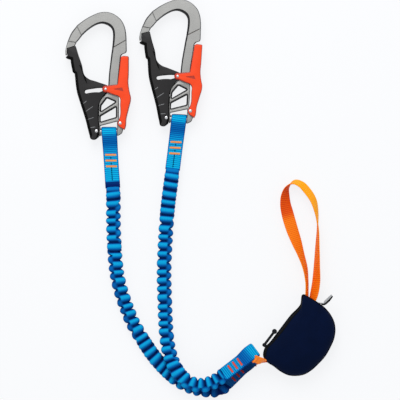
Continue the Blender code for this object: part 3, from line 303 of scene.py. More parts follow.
# Polyamide webbing: cyan where it lies to the light, deep blue where it turns away
WEBBING = PaintedLightWoven("woven_blue_webbing", "06b2e0", "001a5c", 0.7, depth=0.15 * MM, contrast=0.6,
                   specular=0.05, rib=2.3 * MM, yarn=3 * MM, twill=0.1, middle="0060b0")
# A darker copy of the webbing for arm a's lower eye, which lies in shade under arm b's: a painted
# shade
SHADED_WEBBING = replace(WEBBING, name="painted_shade_blue_webbing", colour="08508e", second="001238",
                       roughness=0.75, depth=0.12 * MM, contrast=0.3, middle="043266")
# The same webbing woven as a tube and gathered: painted light on the crests, painted shade in the
# navy folds
SLEEVE = PaintedLightWoven("gathered_blue_webbing", "0ca4da", "001650", 0.7, depth=0.08 * MM,
                  contrast=0.16, specular=0.03, rib=1.8 * MM, yarn=1.8 * MM, middle="0562b0")
# Braided elastic: off-white yarns round rubber strands
ELASTIC = Woven("braided_elastic", "e8e6df", "c9c6bb", 0.85, depth=0.2 * MM, rib=1.4 * MM,
                yarn=1.6 * MM)
# Bonded polyester thread, sewn close: fine raised cords
TACK = Woven("orange_tack_thread", "f2a563", "d98a4a", 0.7, depth=0.1 * MM, contrast=0.9,
             specular=0.2, rib=0.9 * MM, yarn=4 * MM)
TACK_RED = replace(TACK, name="red_tack_thread", colour="e5604a", second="cc4a36")
# A darker copy for the tacks on arm a's lower eye, in the same shade: a painted shade
TACK_SHADED = replace(TACK, name="painted_shade_red_tack_thread", colour="a8281f", second="84150f")
SEAM = Finish("navy_seam_thread", "02163a", "010e28", 0.9, specular=0.02)
# Polyamide tape: orange, and red in painted shade
TAPE = PaintedLightWoven("woven_orange_tape", "fb8410", "a02004", 0.55, depth=0.15 * MM, contrast=0.5,
                specular=0.12, rib=2.2 * MM, yarn=2.2 * MM, middle="dc4406")
# The tape's outer face: a brighter amber copy of it, a painted light
TAPE_LIT = replace(TAPE, name="painted_light_amber_tape", colour="ffa800", second="a83004",
                     depth=0.12 * MM, contrast=0.2, middle="e86a08")
# The same tape pulled tight: brighter, with a sheen on its stretched yarns
TAPE_TIGHT = replace(TAPE, name="stretched_orange_tape", colour="ff8a08", second="c02a04",
                     roughness=0.3, depth=0.05 * MM, contrast=0.2, specular=0.5, middle="f05008")
# Stretch fabric over foam: smooth, very dark navy
POUCH_CLOTH = Finish("navy_stretch_fabric", "021030", "010b24", 0.8, grain=1.4 * MM,
                     depth=0.05 * MM, contrast=0.7, specular=0.06)
BINDING = Woven("black_binding_tape", "050608", "020203", 0.8, rib=1.6 * MM, yarn=1.2 * MM,
                specular=0.1)
ZIP_BLACK = Finish("moulded_black_acetal", "0a0d16", "06080e", 0.45, grain=0.7 * MM,
                   specular=0.25)
ZIP_TAPE = replace(BINDING, name="black_zip_tape", colour="060709", second="030304",
                   rib=1.2 * MM)
LABEL = Woven("grey_label_satin", "c3c5c7", "adb0b3", 0.55, depth=0.05 * MM, rib=0.9 * MM,
              yarn=0.9 * MM)
FLOOR = Finish("matt_paper_floor", "fafbfd", "f8f9fb", 0.9, grain=40 * MM, depth=0.0,
               contrast=0.5, specular=0.1)


def smooth(table: Array, steps: int, corners: Array | None = None, closed: bool = False) -> Array:
    """Cubic curve through points, its slope at each the mean of its two neighbours' directions.

    Args:
        table: One row for each point.
        steps: Parts that each stretch is cut into.
        corners: True where a point keeps its corner.
        closed: Whether the last point joins the first.

    Returns:
        The curve's points, without a repeat of the first.
    """
    spots = np.asarray(table, dtype=float)
    marks = np.zeros(len(spots), bool) if corners is None else np.array(corners, bool)
    step = np.roll(spots, -1, axis=0) - spots
    length = np.maximum(np.linalg.norm(step, axis=1), TINY)[:, None]
    unit = step / length
    behind = np.roll(length, 1, axis=0)
    slope = (np.roll(unit, 1, axis=0) * length + unit * behind) / (length + behind)
    if not closed:
        marks[[0, -1]] = True
    start = np.where(marks[:, None], unit, slope) * length
    end = np.where(np.roll(marks, -1)[:, None], unit, np.roll(slope, -1, axis=0)) * length
    t = (np.arange(steps) / steps)[None, :, None]
    near = 2 * t**3 - 3 * t**2 + 1
    curve = (near * spots[:, None] + (1 - near) * np.roll(spots, -1, axis=0)[:, None]
             + (t**3 - 2 * t**2 + t) * start[:, None] + (t**3 - t**2) * end[:, None])
    if closed:
        return curve.reshape(-1, spots.shape[1])
    return np.vstack([curve[:-1].reshape(-1, spots.shape[1]), spots[-1:]])


def drawn(table: list[tuple[float, ...]], steps: int = 8) -> Array:
    """Smooth open outline through drawing points; a third value marks a corner."""
    return smooth([row[:2] for row in table], steps, [len(row) > 2 for row in table])


def ease(value: Array, low: float, high: float) -> Array:
    """Smooth step from 0 at low to 1 at high."""
    t = np.clip((value - low) / (high - low), 0, 1)
    return t * t * (3 - 2 * t)


def circle(centre: Spot, radius: float, steps: int = 40, start_deg: float = 0.0,
           end_deg: float = 360.0) -> Array:
    """Points round a circle, or along an arc with both its ends.

    Args:
        centre: The circle's middle.
        radius: Its radius.
        steps: Parts that it is cut into.
        start_deg: Angle of the first point.
        end_deg: Angle of the last point.

    Returns:
        The points.
    """
    whole = end_deg - start_deg == 360
    angles = np.radians(np.linspace(start_deg, end_deg, steps + 1))
    angles = angles[:-1] if whole else angles
    return np.array(centre) + radius * np.stack([np.cos(angles), np.sin(angles)], axis=1)


def polar(radius: object, angles: object) -> Array:
    """Points at a distance from the origin, with angles clockwise from the Y axis."""
    return np.asarray(radius)[..., None] * np.stack([np.sin(angles), np.cos(angles)], axis=-1)


def turning(turn_deg: float) -> Array:
    """Matrix that turns row vectors about the Z axis.

    Args:
        turn_deg: Turn, against the clock.

    Returns:
        The matrix.
    """
    turn = math.radians(turn_deg)
    return np.array(((math.cos(turn), math.sin(turn), 0), (-math.sin(turn), math.cos(turn), 0),
                     (0, 0, 1)))


def unit_rows(rows: Array) -> Array:
    """Rows scaled to length one."""
    return rows / np.maximum(np.linalg.norm(rows, axis=1), TINY)[:, None]


def travelled(points: Array) -> Array:
    """Distance of each point along the line through them."""
    steps = np.linalg.norm(np.diff(points, axis=0), axis=1)
    return np.concatenate([[0], np.cumsum(steps)])


def cloth_map(along: Array, around: Array) -> Array:
    """Cloth map of a grid from distances along it and round it."""
    return np.stack(np.broadcast_arrays(along, around), axis=2)


def bulged(share: Array, power: int = 8) -> Array:
    """Section with nearly flat faces: the root of one minus the place to a power."""
    return np.sqrt(1 - share**power)


def linked(name: str, data: ID) -> Object:
    """New object of some data, in the scene's collection.

    Args:
        name: Name of the object.
        data: Its data.

    Returns:
        The object.
    """
    made = bpy.data.objects.new(name, data)
    bpy.context.collection.objects.link(made)
    return made


def fix(piece: Object, body: str, slot: str, node: str | None = None) -> None:
    """Fixes a piece to its body.

    Args:
        piece: The piece.
        body: Body that it rides on.
        slot: Not used.
        node: CAD node that it takes the place of, if any.
    """
    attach(piece, body)
    if node:
        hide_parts(node)
    log.info("%s on %s", piece.name, body)


def finished(name: str, data: Mesh, finishes: list[Finish], uneven: bool = False) -> Object:
    """Object of a mesh: faces outwards, smooth with its sharp edges kept, and dressed.

    Args:
        name: Name of the piece.
        data: Its mesh.
        finishes: Its materials.
        uneven: Whether neighbouring faces may still look opposite ways.

    Returns:
        The piece.
    """
    shape = bmesh.new()
    shape.from_mesh(data)
    if uneven:
        bmesh.ops.recalc_face_normals(shape, faces=shape.faces)
    if shape.calc_volume(signed=True) < 0:
        bmesh.ops.reverse_faces(shape, faces=shape.faces)
    shape.to_mesh(data)
    shape.free()
    data.shade_smooth()
    data.set_sharp_from_angle(angle=math.radians(SHARP_DEG))
    for finish in finishes:
        data.materials.append(finish.material())
    return linked(name, data)


def ring_places(rows: int, columns: int, wrap_rows: bool) -> tuple[Array, ...]:
    """Rows and columns of a grid of rings, each with the ones after.

    Args:
        rows: Number of rings.
        columns: Points of a ring.
        wrap_rows: Whether the last ring joins the first.

    Returns:
        Row, next row, column and next column of each face.
    """
    first = np.arange(rows if wrap_rows else rows - 1)[:, None]
    place = np.arange(columns)[None, :]
    return first, (first + 1) % rows, place, (place + 1) % columns


def ring_faces(rows: int, columns: int, wrap_rows: bool = False, start: int = 0) -> list:
    """Faces between the rings of a grid, whose first point has the start's number.

    Args:
        rows: Number of rings.
        columns: Points of a ring.
        wrap_rows: Whether the last ring joins the first.
        start: Number of the first point.

    Returns:
        The faces.
    """
    first, after, place, beside = ring_places(rows, columns, wrap_rows)
    return (start + np.stack([first * columns + place, first * columns + beside,
                              after * columns + beside, after * columns + place],
                             axis=-1)).reshape(-1, 4).tolist()


def skin(name: str, grid: Array, finishes: list[Finish], wrap_rows: bool = False,
         cloth: Array | None = None, slots: Array | None = None,
         painted_light: Array | None = None) -> Object:
    """Closed surface over a grid of rings.

    Args:
        name: Name of the piece.
        grid: Points, by ring and by place round the ring.
        finishes: Its materials.
        wrap_rows: Whether the last ring joins the first; otherwise both ends get a face.
        cloth: Cloth map in metres, with one more column than the grid.
        slots: Material index of each column of faces.
        painted_light: Painted light of each point, from 0 in painted shade, as down in a fold, to
            1 lit, as on a crest.

    Returns:
        The piece.
    """
    rows, columns = grid.shape[:2]
    first, after, place, _ = ring_places(rows, columns, wrap_rows)
    faces = ring_faces(rows, columns, wrap_rows)
    index = np.zeros(len(faces) if wrap_rows else len(faces) + 2, dtype=np.int32)
    if slots is not None:
        index[:len(faces)] = np.tile(slots, len(first))
    if not wrap_rows:
        faces += [list(range(columns))[::-1], list(range((rows - 1) * columns, rows * columns))]
    data = bpy.data.meshes.new(name)
    data.from_pydata(grid.reshape(-1, 3).tolist(), [], faces)
    if cloth is not None:
        layer = data.uv_layers.new(name=CLOTH_MAP)
        spare = place + 0 * first
        corners = np.stack([cloth[first, spare], cloth[first, spare + 1], cloth[after, spare + 1],
                            cloth[after, spare]], axis=2).reshape(-1, 2)
        if not wrap_rows:
            corners = np.vstack([corners, np.zeros((2 * columns, 2))])
        layer.data.foreach_set("uv", corners.ravel())
    data.polygons.foreach_set("material_index", index)
    if painted_light is not None:
        values = data.attributes.new(PAINTED_LIGHT, "FLOAT", "POINT")
        values.data.foreach_set("value", painted_light.ravel().astype(np.float32))
    return finished(name, data, finishes)


def plate(name: str, loops: list[Array], low: float, high: float, rims: list,
          finishes: list[Finish], place: object, drop: float | None = None,
          steps: int = 4) -> Object:
    """Plate between two heights with rounded rims.

    Each rim goes from the wall to the face along a quarter of an oval, which is as wide as the
    rim's value at that point and as deep as drop.

    Args:
        name: Name of the piece.
        loops: Outline first, then the holes.
        low: Height of the lower face.
        high: Height of the upper face.
        rims: For each loop, its rim's width, or one width for each point.
        finishes: Face finish, and the rims' and walls' finish where it differs.
        place: Function that carries points to their place.
        drop: Depth of the rims.
        steps: Parts of a rim.

    Returns:
        The piece.
    """
    angles = np.linspace(0, math.pi / 2, steps + 1)
    points, faces, caps = [], [], []
    start = 0
    for number, (loop, rim) in enumerate(zip(loops, rims)):
        x, y = loop[:, 0], loop[:, 1]
        area = np.sum(x * np.roll(y, -1) - np.roll(x, -1) * y)
        width = np.broadcast_to(np.asarray(rim, dtype=float), len(loop))
        if (area > 0) != (number == 0):
            loop, width = loop[::-1], width[::-1]
        ahead = unit_rows(np.roll(loop, -1, axis=0) - loop)
        normal = np.stack([-ahead[:, 1], ahead[:, 0]], axis=1)
        last = np.roll(normal, 1, axis=0)
        spread = np.maximum(1 + np.sum(normal * last, axis=1), 0.5)
        inward = (normal + last) / spread[:, None]
        depth = np.max(width) if drop is None else drop
        rings = []
        for way, level in ((-1, low), (1, high)):
            for angle in angles[::way]:
                flat = loop + inward * (width * (1 - math.cos(angle)))[:, None]
                height = np.full(len(loop), level - way * depth * (1 - math.sin(angle)))
                rings.append(np.column_stack([flat, height]))
        faces += ring_faces(len(rings), len(loop), start=start)
        points += rings
        caps.append((rings[-1], start, start + (len(rings) - 1) * len(loop)))
        start += len(rings) * len(loop)
    index = [1 if len(finishes) > 1 else 0] * len(faces)
    names = np.concatenate([top + np.arange(len(ring)) for ring, _, top in caps])
    under = np.concatenate([bottom + np.arange(len(ring)) for ring, bottom, _ in caps])
    fill = tessellate_polygon([[Vector(p) for p in ring] for ring, _, _ in caps])
    faces += [[int(names[i]) for i in tri] for tri in fill]
    faces += [[int(under[i]) for i in reversed(tri)] for tri in fill]
    index += [0] * (2 * len(fill))
    data = bpy.data.meshes.new(name)
    data.from_pydata(place(np.vstack(points)).tolist(), [], faces)
    data.polygons.foreach_set("material_index", index)
    return finished(name, data, finishes, True)


def turned(name: str, profile: list[Spot], finish: Finish, place: object,
           sides: int = 28) -> Object:
    """Turned piece: (radius, height) pairs carried round the Z axis, then to their place.

    Args:
        name: Name of the piece.
        profile: Radius and height of each ring.
        finish: Its finish.
        place: Function that carries points to their place.
        sides: Points of a ring.

    Returns:
        The piece.
    """
    grid = np.stack([np.column_stack([circle((0, 0), radius, sides), np.full(sides, height)])
                     for radius, height in profile])
    return skin(name, place(grid), [finish])


def carved(piece: Object, others: list[Object], operation: str = "DIFFERENCE") -> Object:
    """Piece after an exact Boolean with other solids, which are then removed.

    Args:
        piece: The solid.
        others: The others.
        operation: The Boolean's kind.

    Returns:
        The piece.
    """
    for other in others:
        step = piece.modifiers.new(other.name, "BOOLEAN")
        step.operation = operation
        step.solver = "EXACT"
        step.object = other
    graph = bpy.context.evaluated_depsgraph_get()
    data = bpy.data.meshes.new_from_object(piece.evaluated_get(graph))
    piece.modifiers.clear()
    piece.data = data
    data.set_sharp_from_angle(angle=math.radians(SHARP_DEG))
    for other in others:
        bpy.data.objects.remove(other)
    return piece


def joined(name: str, pieces: list[Object]) -> Object:
    """One object of several meshes, with their materials and cloth maps kept.

    Args:
        name: Name of the piece.
        pieces: The meshes' objects.

    Returns:
        The piece.
    """
    with bpy.context.temp_override(active_object=pieces[0], object=pieces[0],
                                   selected_objects=pieces,
                                   selected_editable_objects=pieces):
        bpy.ops.object.join()
    pieces[0].name = name
    return pieces[0]


@dataclass
class Path:
    """Centre line with the direction of a tape's width at each of its points."""
    centres: Array
    across: Array

    def __post_init__(self) -> None:
        """Works out directions, distances and squares the widths to the line."""
        self.ahead = unit_rows(np.gradient(self.centres, axis=0))
        lean = np.sum(self.across * self.ahead, axis=1)[:, None]
        self.across = unit_rows(self.across - self.ahead * lean)
        self.normal = np.cross(self.across, self.ahead)
        self.travel = travelled(self.centres)

    @property
    def length(self) -> float:
        """Length of the line."""
        return float(self.travel[-1])

    @classmethod
    def level(cls, centres: Array) -> "Path":
        """Path whose width lies level."""
        return cls(centres, np.cross(np.gradient(centres, axis=0), UP))

    def around(self, wide: Array, high: Array) -> Array:
        """Grid of rings round the line, by their offsets along its width and its normal."""
        return (self.centres[:, None] + self.across[:, None] * wide[..., None]
                + self.normal[:, None] * high[..., None])


def level_path(route: Array, spacing: float) -> Path:
    """Evenly spaced path whose width lies level.

    Args:
        route: Points of the line.
        spacing: Distance between its points.

    Returns:
        The path.
    """
    travel = travelled(route)
    places = np.linspace(0, travel[-1], int(round(travel[-1] / spacing)) + 1)
    return Path.level(np.stack([np.interp(places, travel, route[:, k]) for k in range(3)], axis=1))


def tape(name: str, path: Path, width: object, thickness: float, finishes: list[Finish],
         columns: int = 14, shade: Array | None = None, edge_light: float = 1.0,
         slots: str = "one") -> Object:
    """Flat tape along a path, with a lens-shaped section.

    Args:
        name: Name of the piece.
        path: Centre line and width directions.
        width: Width, or one width for each point.
        thickness: Thickness.
        finishes: Its materials.
        columns: Places across the tape.
        shade: Light value of each point of the line, for finishes that read it.
        edge_light: Share of the painted light left at both edges, a painted shade along them.
        slots: Which columns take the second finish: none for "one", a border along one edge for
            "edge", the lower face for "faces".

    Returns:
        The piece.
    """
    place = np.sin(np.linspace(-math.pi / 2, math.pi / 2, columns))
    height = bulged(place)
    across = np.concatenate([place, place[-2:0:-1]])
    through = np.concatenate([height, -height[-2:0:-1]])
    half = np.broadcast_to(np.asarray(width, dtype=float) / 2, len(path.centres))[:, None]
    grid = path.around(half * across, np.broadcast_to(through * thickness / 2,
                                                      (len(half), len(through))))
    second = np.zeros(len(across), dtype=np.int32)
    if slots == "edge":
        second[:BORDER_COLUMNS] = second[-BORDER_COLUMNS:] = 1
    elif slots == "faces":
        second[columns - 1:] = 1
    painted_light = None
    if shade is not None:
        # Painted light of each point: the line's value, with a painted shade along both edges
        painted_light = shade[:, None] * (1 - (1 - edge_light) * ease(np.abs(across), *EDGE_SHADE_SHARES))
    return skin(name, grid, finishes, cloth=cloth_map(path.travel[:, None],
                                                      half * np.append(across, across[0])),
                slots=second, painted_light=painted_light)


@dataclass
class Stage:
    """Pale floor, soft studio light and the camera straight above."""
    frame_width: float = 0.472
    camera_height: float = 3.0
    sensor: float = 36.0
    subject_height: float = 0.01
    key_watts: float = 15.0
    key_size: float = 1.1
    key_place: Place = (-0.25, 1.05, 1.25)
    fill_level: float = 0.7
    floor_size: float = 6.0
    floor_glow: float = 0.86
    sky_colour: str = "fdfeff"
    clip_end: float = 20.0

    def build(self) -> None:
        """Makes the camera, the lamps, the world and the floor."""
        scene = bpy.context.scene
        scene.view_settings.view_transform = "Standard"
        lens = bpy.data.cameras.new("camera_above")
        lens.sensor_width = self.sensor
        lens.lens = self.sensor * (self.camera_height - self.subject_height) / self.frame_width
        lens.clip_end = self.clip_end
        camera = linked("camera_above", lens)
        camera.location = (LAYOUT[0], LAYOUT[1], self.camera_height)
        scene.camera = camera
        lamp = bpy.data.lights.new("soft_key", "AREA")
        lamp.shape = "DISK"
        lamp.size = self.key_size
        lamp.energy = self.key_watts
        key = linked("soft_key", lamp)
        key.location = self.key_place
        key.rotation_euler = Vector(self.key_place).to_track_quat("Z", "Y").to_euler()
        world = bpy.data.worlds.new("studio")
        scene.world = world
        world.use_nodes = True
        tree = world.node_tree
        ray = add_node(tree, "ShaderNodeLightPath")
        level = mapped(tree, ray.outputs["Is Camera Ray"], new=(self.fill_level, 1.0))
        sky = tree.nodes["Background"]
        sky.inputs["Color"].default_value = linear(self.sky_colour)
        tree.links.new(level, sky.inputs["Strength"])
        self.floor()

    def floor(self) -> None:
        """Large square of matt paper under everything."""
        half = self.floor_size / 2
        data = bpy.data.meshes.new("paper_floor")
        data.from_pydata([(-half, -half, 0), (half, -half, 0), (half, half, 0), (-half, half, 0)],
                         [], [(0, 1, 2, 3)])
        paper = FLOOR.material()
        tree = paper.node_tree
        ray = add_node(tree, "ShaderNodeLightPath")
        seen = maths(tree, "MULTIPLY", ray.outputs["Is Camera Ray"], self.floor_glow)
        glow = add_node(tree, "ShaderNodeEmission", {"Color": linear(FLOOR.colour)})
        blend = add_node(tree, "ShaderNodeMixShader", {
            0: seen, 1: tree.nodes["Principled BSDF"].outputs[0], 2: glow.outputs[0]})
        tree.links.new(blend.outputs[0], tree.nodes["Material Output"].inputs["Surface"])
        data.materials.append(paper)
        floor = linked("paper_floor", data)


@dataclass
class Sided:
    """Sub-assembly that the lanyard has twice."""
    side: Side

    def named(self, name: str) -> str:
        """Name of a piece of this side."""
        return f"{name}_{self.side.value}"


@dataclass
class Carabiner(Sided):
    """Carabiner with its gate and palm lever, drawn on a grid about the middle of its bar."""
    place: Place
    turn_deg: float
    grid: float = 0.151 / 128
    lattice_half: float = 4.4 * MM
    gate_half: float = 6.8 * MM
    lever_half: float = 8.8 * MM
    play: float = 0.4 * MM
    chamfer_drop: float = 2.2 * MM
    bar_radius: float = 4.3 * MM
    lug_half: float = 1.8 * MM
    slot_drop: float = 2.6 * MM
    slot_half: float = 2.3 * MM
    gate_rivet: Spot = (-12.7, 0.9)
    lever_rivet: Spot = (11.0, 8.8)
    lock_pin: Spot = (-3.5, 42.8)
    pivot_hole: float = 1.6 * MM
    pin_hole: float = 1.4 * MM
    # Radii of the shank and of the head
    pivot_radii: Spot = (1.2 * MM, 1.8 * MM)
    pin_radii: Spot = (1.0 * MM, 1.5 * MM)
    head_gap: float = 0.3 * MM
    head_height: float = 0.6 * MM
    gate_hollow_half: float = 5.0 * MM
    gate_drop: float = 1.2 * MM
    gate_pocket_depth: float = 1.2 * MM
    lever_pocket_depth: float = 0.5 * MM
    rib_radius: float = 0.45 * MM
    rib_sink: float = 0.1 * MM
    soft_edge: float = 0.25 * MM
    soft_edge_deg: float = 28.0
    # Rims' widths: the lattice's outline, windows and rivet hole, the lug, holes and the slot; the
    # rims carry the walls' finish, a painted dark reflection on the frame and a painted shade on
    # the gate and lever
    lattice_rims: tuple[float, ...] = (0.6 * MM, 1.9 * MM, 1.9 * MM, 0.2 * MM)
    small_rim: float = 0.3 * MM
    slot_rim: float = 0.35 * MM

    # Stations from the lever's arm up the spine and over to the nose: outer point and inner point
    # in grid squares, thickness and the inner and outer chamfers' widths in millimetres; the
    # chamfers carry the painted dark reflection
    HOOK = (
        (8.9, 39, -1.4, 39, 9.2, 1.3, 0.7, 1), (8.7, 48, -0.9, 48, 9.2, 1.5, 0.7),
        (9.6, 59, -0.2, 59, 9.2, 1.6, 0.7), (10.6, 68, 0.85, 68, 9.2, 1.7, 0.7),
        (11.4, 75, 1.7, 75, 9.2, 1.8, 0.9, 1), (11.7, 76.1, 1.8, 76.1, 9.2, 1.8, 0.9, 1),
        (12.9, 77.6, 2.0, 77.4, 9.2, 1.8, 1.0), (16.7, 79.3, 2.2, 79, 9.2, 1.9, 1.0, 1),
        (17.4, 81, 2.5, 81, 9.2, 2.0, 1.0, 1), (17.2, 91.6, 2.9, 83.4, 9.2, 2.1, 1.0, 1),
        (17.2, 92.6, 3.0, 84.4, 12.2, 2.6, 1.2, 1), (16.8, 98.3, 3.6, 91, 12.2, 2.8, 1.1),
        (15.5, 105, 3.8, 97, 12.2, 2.9, 1.0), (12.9, 110.7, 3.2, 101.4, 12.2, 2.9, 0.9),
        (8.3, 115.4, 0.9, 105, 12.2, 2.8, 0.8), (3.3, 118.4, -2.7, 107.3, 12.2, 2.6, 0.8),
        (-2.8, 119.9, -7, 108.5, 12.2, 2.2, 0.8), (-9.3, 119.4, -11.1, 108, 12.2, 1.7, 0.9),
        (-16.8, 116.5, -15.8, 105.9, 12.2, 1.4, 1.0), (-25.3, 111.7, -22.1, 101.5, 12.2, 1.2, 1.1),
        (-32, 106.6, -27.2, 96.8, 12.2, 1.0, 1.3, 1),
        (-32.8, 105.7, -27.9, 95.8, 10.4, 0.9, 1.5, 1),
        (-38.3, 98.3, -31, 91.8, 10.4, 0.8, 1.5), (-41.3, 91.2, -32.9, 89.8, 10.4, 0.7, 1.2, 1),
        (-41.7, 90.2, -33.2, 89, 8.6, 0.7, 1.0, 1), (-43.4, 84.3, -34.5, 86.2, 8.6, 0.7, 0.8, 1),
        (-43.5, 83.4, -41.9, 84.0, 8.6, 0.4, 0.4, 1), (-43.9, 79.2, -42.1, 79.2, 8.6, 0.4, 0.4),
        (-43.7, 76.9, -42.4, 76.9, 8.6, 0.4, 0.4, 1))
    LATTICE = ((8.9, 45, 1), (9.0, 38, 1), (9.4, 33), (9.5, 14, 1))
    FOOT = ((14.0, 2.9), (12.3, -1.4), (8.8, -3.6, 1))
    LATTICE_LEFT = ((-10.2, -4.1, 1), (-10.3, 10, 1), (-10.5, 22), (-9.9, 29), (-8.6, 32.5),
                    (-4.6, 36.4), (-2.6, 39), (-1.5, 42.5), (-1.1, 45, 1))
    WINDOWS = (((-2.3, 33.7), (5.9, 30.1), (-8.2, 20.9), (-7.9, 26.3)),
               ((6.6, 24.6), (6.6, 15.0), (-8.6, 10.4), (-8.6, 15.6)))
    EYE_SLOT = ((-8.99, 6.2), (7.79, 10.6))
    LUG = ((-9.6, 26), (-9.2, -3.4), (-9.2, 10))
    GATE_LEFT = (
        (-41.6, 82.4), (-41.8, 76, 1), (-43.5, 74.7, 1), (-42.8, 73.6, 1), (-38.6, 72.2, 1),
        (-38.4, 70), (-36.5, 59.8, 1), (-34.5, 58, 1), (-32, 39.1), (-28.7, 28.3),
        (-23.7, 12.5), (-19.7, -3.0), (-18.4, -7.0), (-14.6, -7.7), (-10.6, -4.9, 1))
    GATE_RIGHT = (
        (-10.1, 3, 1), (-10.9, 18.7), (-10, 27.9), (-6, 35.3), (-3.4, 38.4), (-1.4, 40.5),
        (-0.9, 43.5), (-1.5, 46.2), (-3.2, 47.1, 1), (-13.3, 50.5), (-20.7, 53.1),
        (-24.1, 55.9), (-27.8, 68.1), (-30.8, 76.5))
    GATE_HOLLOW = (
        (14, 60), (-20.6, 60), (-22.0, 53.0), (-29.4, 44), (-29.6, 39.5), (-26.3, 27.6),
        (-21.4, 12.0), (-17.5, -2.2), (-17.2, -4.9), (-14.6, -5.6), (-9, -2.0), (14, -2))
    LEVER = (
        (11.5, 74.4, 1), (12.3, 75.2), (18.7, 75.6, 1), (19.5, 74.9, 1), (19.3, 57.7),
        (19.0, 48.5),
        (20.6, 38.5), (21.5, 35), (21.5, 32.8), (19.4, 23.2), (17.1, 13.6), (16.0, 4.1),
        (15.1, 2.2, 1), (9.1, 6.4), (8.2, 8.6), (9.2, 10.8), (10.8, 15.6), (11.0, 27),
        (10.6, 33.9), (8.7, 35.8), (5.7, 36.6, 1))
    LEVER_INNER = ((8.3, 47.4, 1), (10.1, 62.3, 1))
    LEVER_HOLLOW = (
        (18.0, 90), (18.0, 57.7), (17.6, 48.5), (19.2, 38.3), (20.1, 35), (20.1, 32.9),
        (18.0, 23.4), (15.7, 13.8), (14.6, 3.5), (14.6, -4), (-12, -4), (-12, 90))
    TIP_ENDS = (-20.9, -28.9)
    TIP_RADIUS = 87.45
    ARM_END_RADIUS = 3.47
    ARM_END_DEG = (-78.0, -282.0)
    # Grip ribs on the gate's flank: both ends, in grid squares
    RIBS = ((-25.8, 28.3, -22.4, 30.8), (-23.3, 20.4, -16.2, 25.4), (-21.2, 12.5, -15.4, 14.4),
            (-18.7, 4.3, -13.7, 4.9))
    # Shallow pockets, as outlines in grid squares: by the gate's tip and in the lever's arm; their
    # walls and floors take a painted shade
    GATE_POCKET = ((-30.0, 67.0), (-26.8, 65.5), (-23.5, 55.0), (-21.8, 47.5), (-24.5, 52.0),
                   (-27.8, 62.0))
    LEVER_POCKET = ((4.1, 42.7), (12.9, 44.3), (14.5, 40.4))
    # In grid squares: round the rivets, corners' radii, and how far the bar runs into the frame
    LEVER_BOSS = 3.39
    GATE_BOSS = 3.73
    RIVET_HOLE = 1.36
    WINDOW_CORNER = 0.9
    POCKET_CORNER = 0.8
    BAR_OVERLAP = 0.7
    # The gate's rims in millimetres: least, what the flank adds, at the right; heights between
    # which the flank begins at the top and at the foot
    GATE_RIMS = (0.5, 2.9, 0.6)
    FLANK_TOP = (76, 73)
    FLANK_FOOT = (-8, -3)
    # The lever's rims in millimetres, which carry its painted shade: least and what its arm adds;
    # places where the arm begins
    LEVER_RIMS = (0.8, 0.9)
    ARM_ACROSS = (8.0, -2.0)
    ARM_UP = (30, 36)
    # Grip ribs: angle cut off each end's swell, and their height against their width
    RIB_END = 0.25
    RIB_FLATNESS = 0.8
    # Shares of a rivet head's height: its straight edge and its dome
    HEAD_SHARES = (0.35, 0.65)
    # Most of the section's width that a chamfer of the hook may take
    CHAMFER_LIMIT = 0.3
    # The slot: gate's travel, lever's share of it, its left and right end and its latch notch
    GATE_TRAVEL_DEG = 20
    LEVER_RATIO = 0.25
    SLOT_DEG = (-14.2, 4.0, 11.5)

    def carried(self, points: Array) -> Array:
        """Drawing's points in metres carried to the carabiner's place."""
        return points @ turning(self.turn_deg) + np.array(self.place) + LAYOUT

    def about(self, spot: Spot) -> object:
        """Function that carries points drawn about a spot of the drawing."""
        offset = np.array((spot[0] * self.grid, spot[1] * self.grid, 0))
        return lambda points: self.carried(points + offset)

    def hook(self) -> Object:
        """Hook and spine: an eight-cornered section lofted through the stations.

        Returns:
            The piece.
        """
        table = np.array([row[:7] for row in self.HOOK])
        table[:, :4] *= self.grid
        table[:, 4:] *= MM
        marks = [len(row) > 7 for row in self.HOOK]
        rows = smooth(table, 6, marks)
        outer, inner, half = rows[:, 0:2], rows[:, 2:4], rows[:, 4] / 2
        step = inner - outer
        width = np.linalg.norm(step, axis=1)
        outside, inside = (np.minimum(rows[:, k] / width, self.CHAMFER_LIMIT) for k in (6, 5))
        drop = np.minimum(self.chamfer_drop, width * self.CHAMFER_LIMIT)
        section = ((outside, half), (1 - inside, half), (1 + 0 * half, half - drop),
                   (1 + 0 * half, drop - half), (1 - inside, -half), (outside, -half),
                   (0 * half, drop - half), (0 * half, half - drop))
        grid = np.stack([np.column_stack([outer + step * along[:, None], height])
                         for along, height in section], axis=1)
        # Grey faces; the walls and chamfers in the painted dark reflection
        return skin(self.named("hook_blank"), self.carried(grid), [FACED, EDGE],
                    slots=np.array((0, 1, 1, 1, 0, 1, 1, 1)))

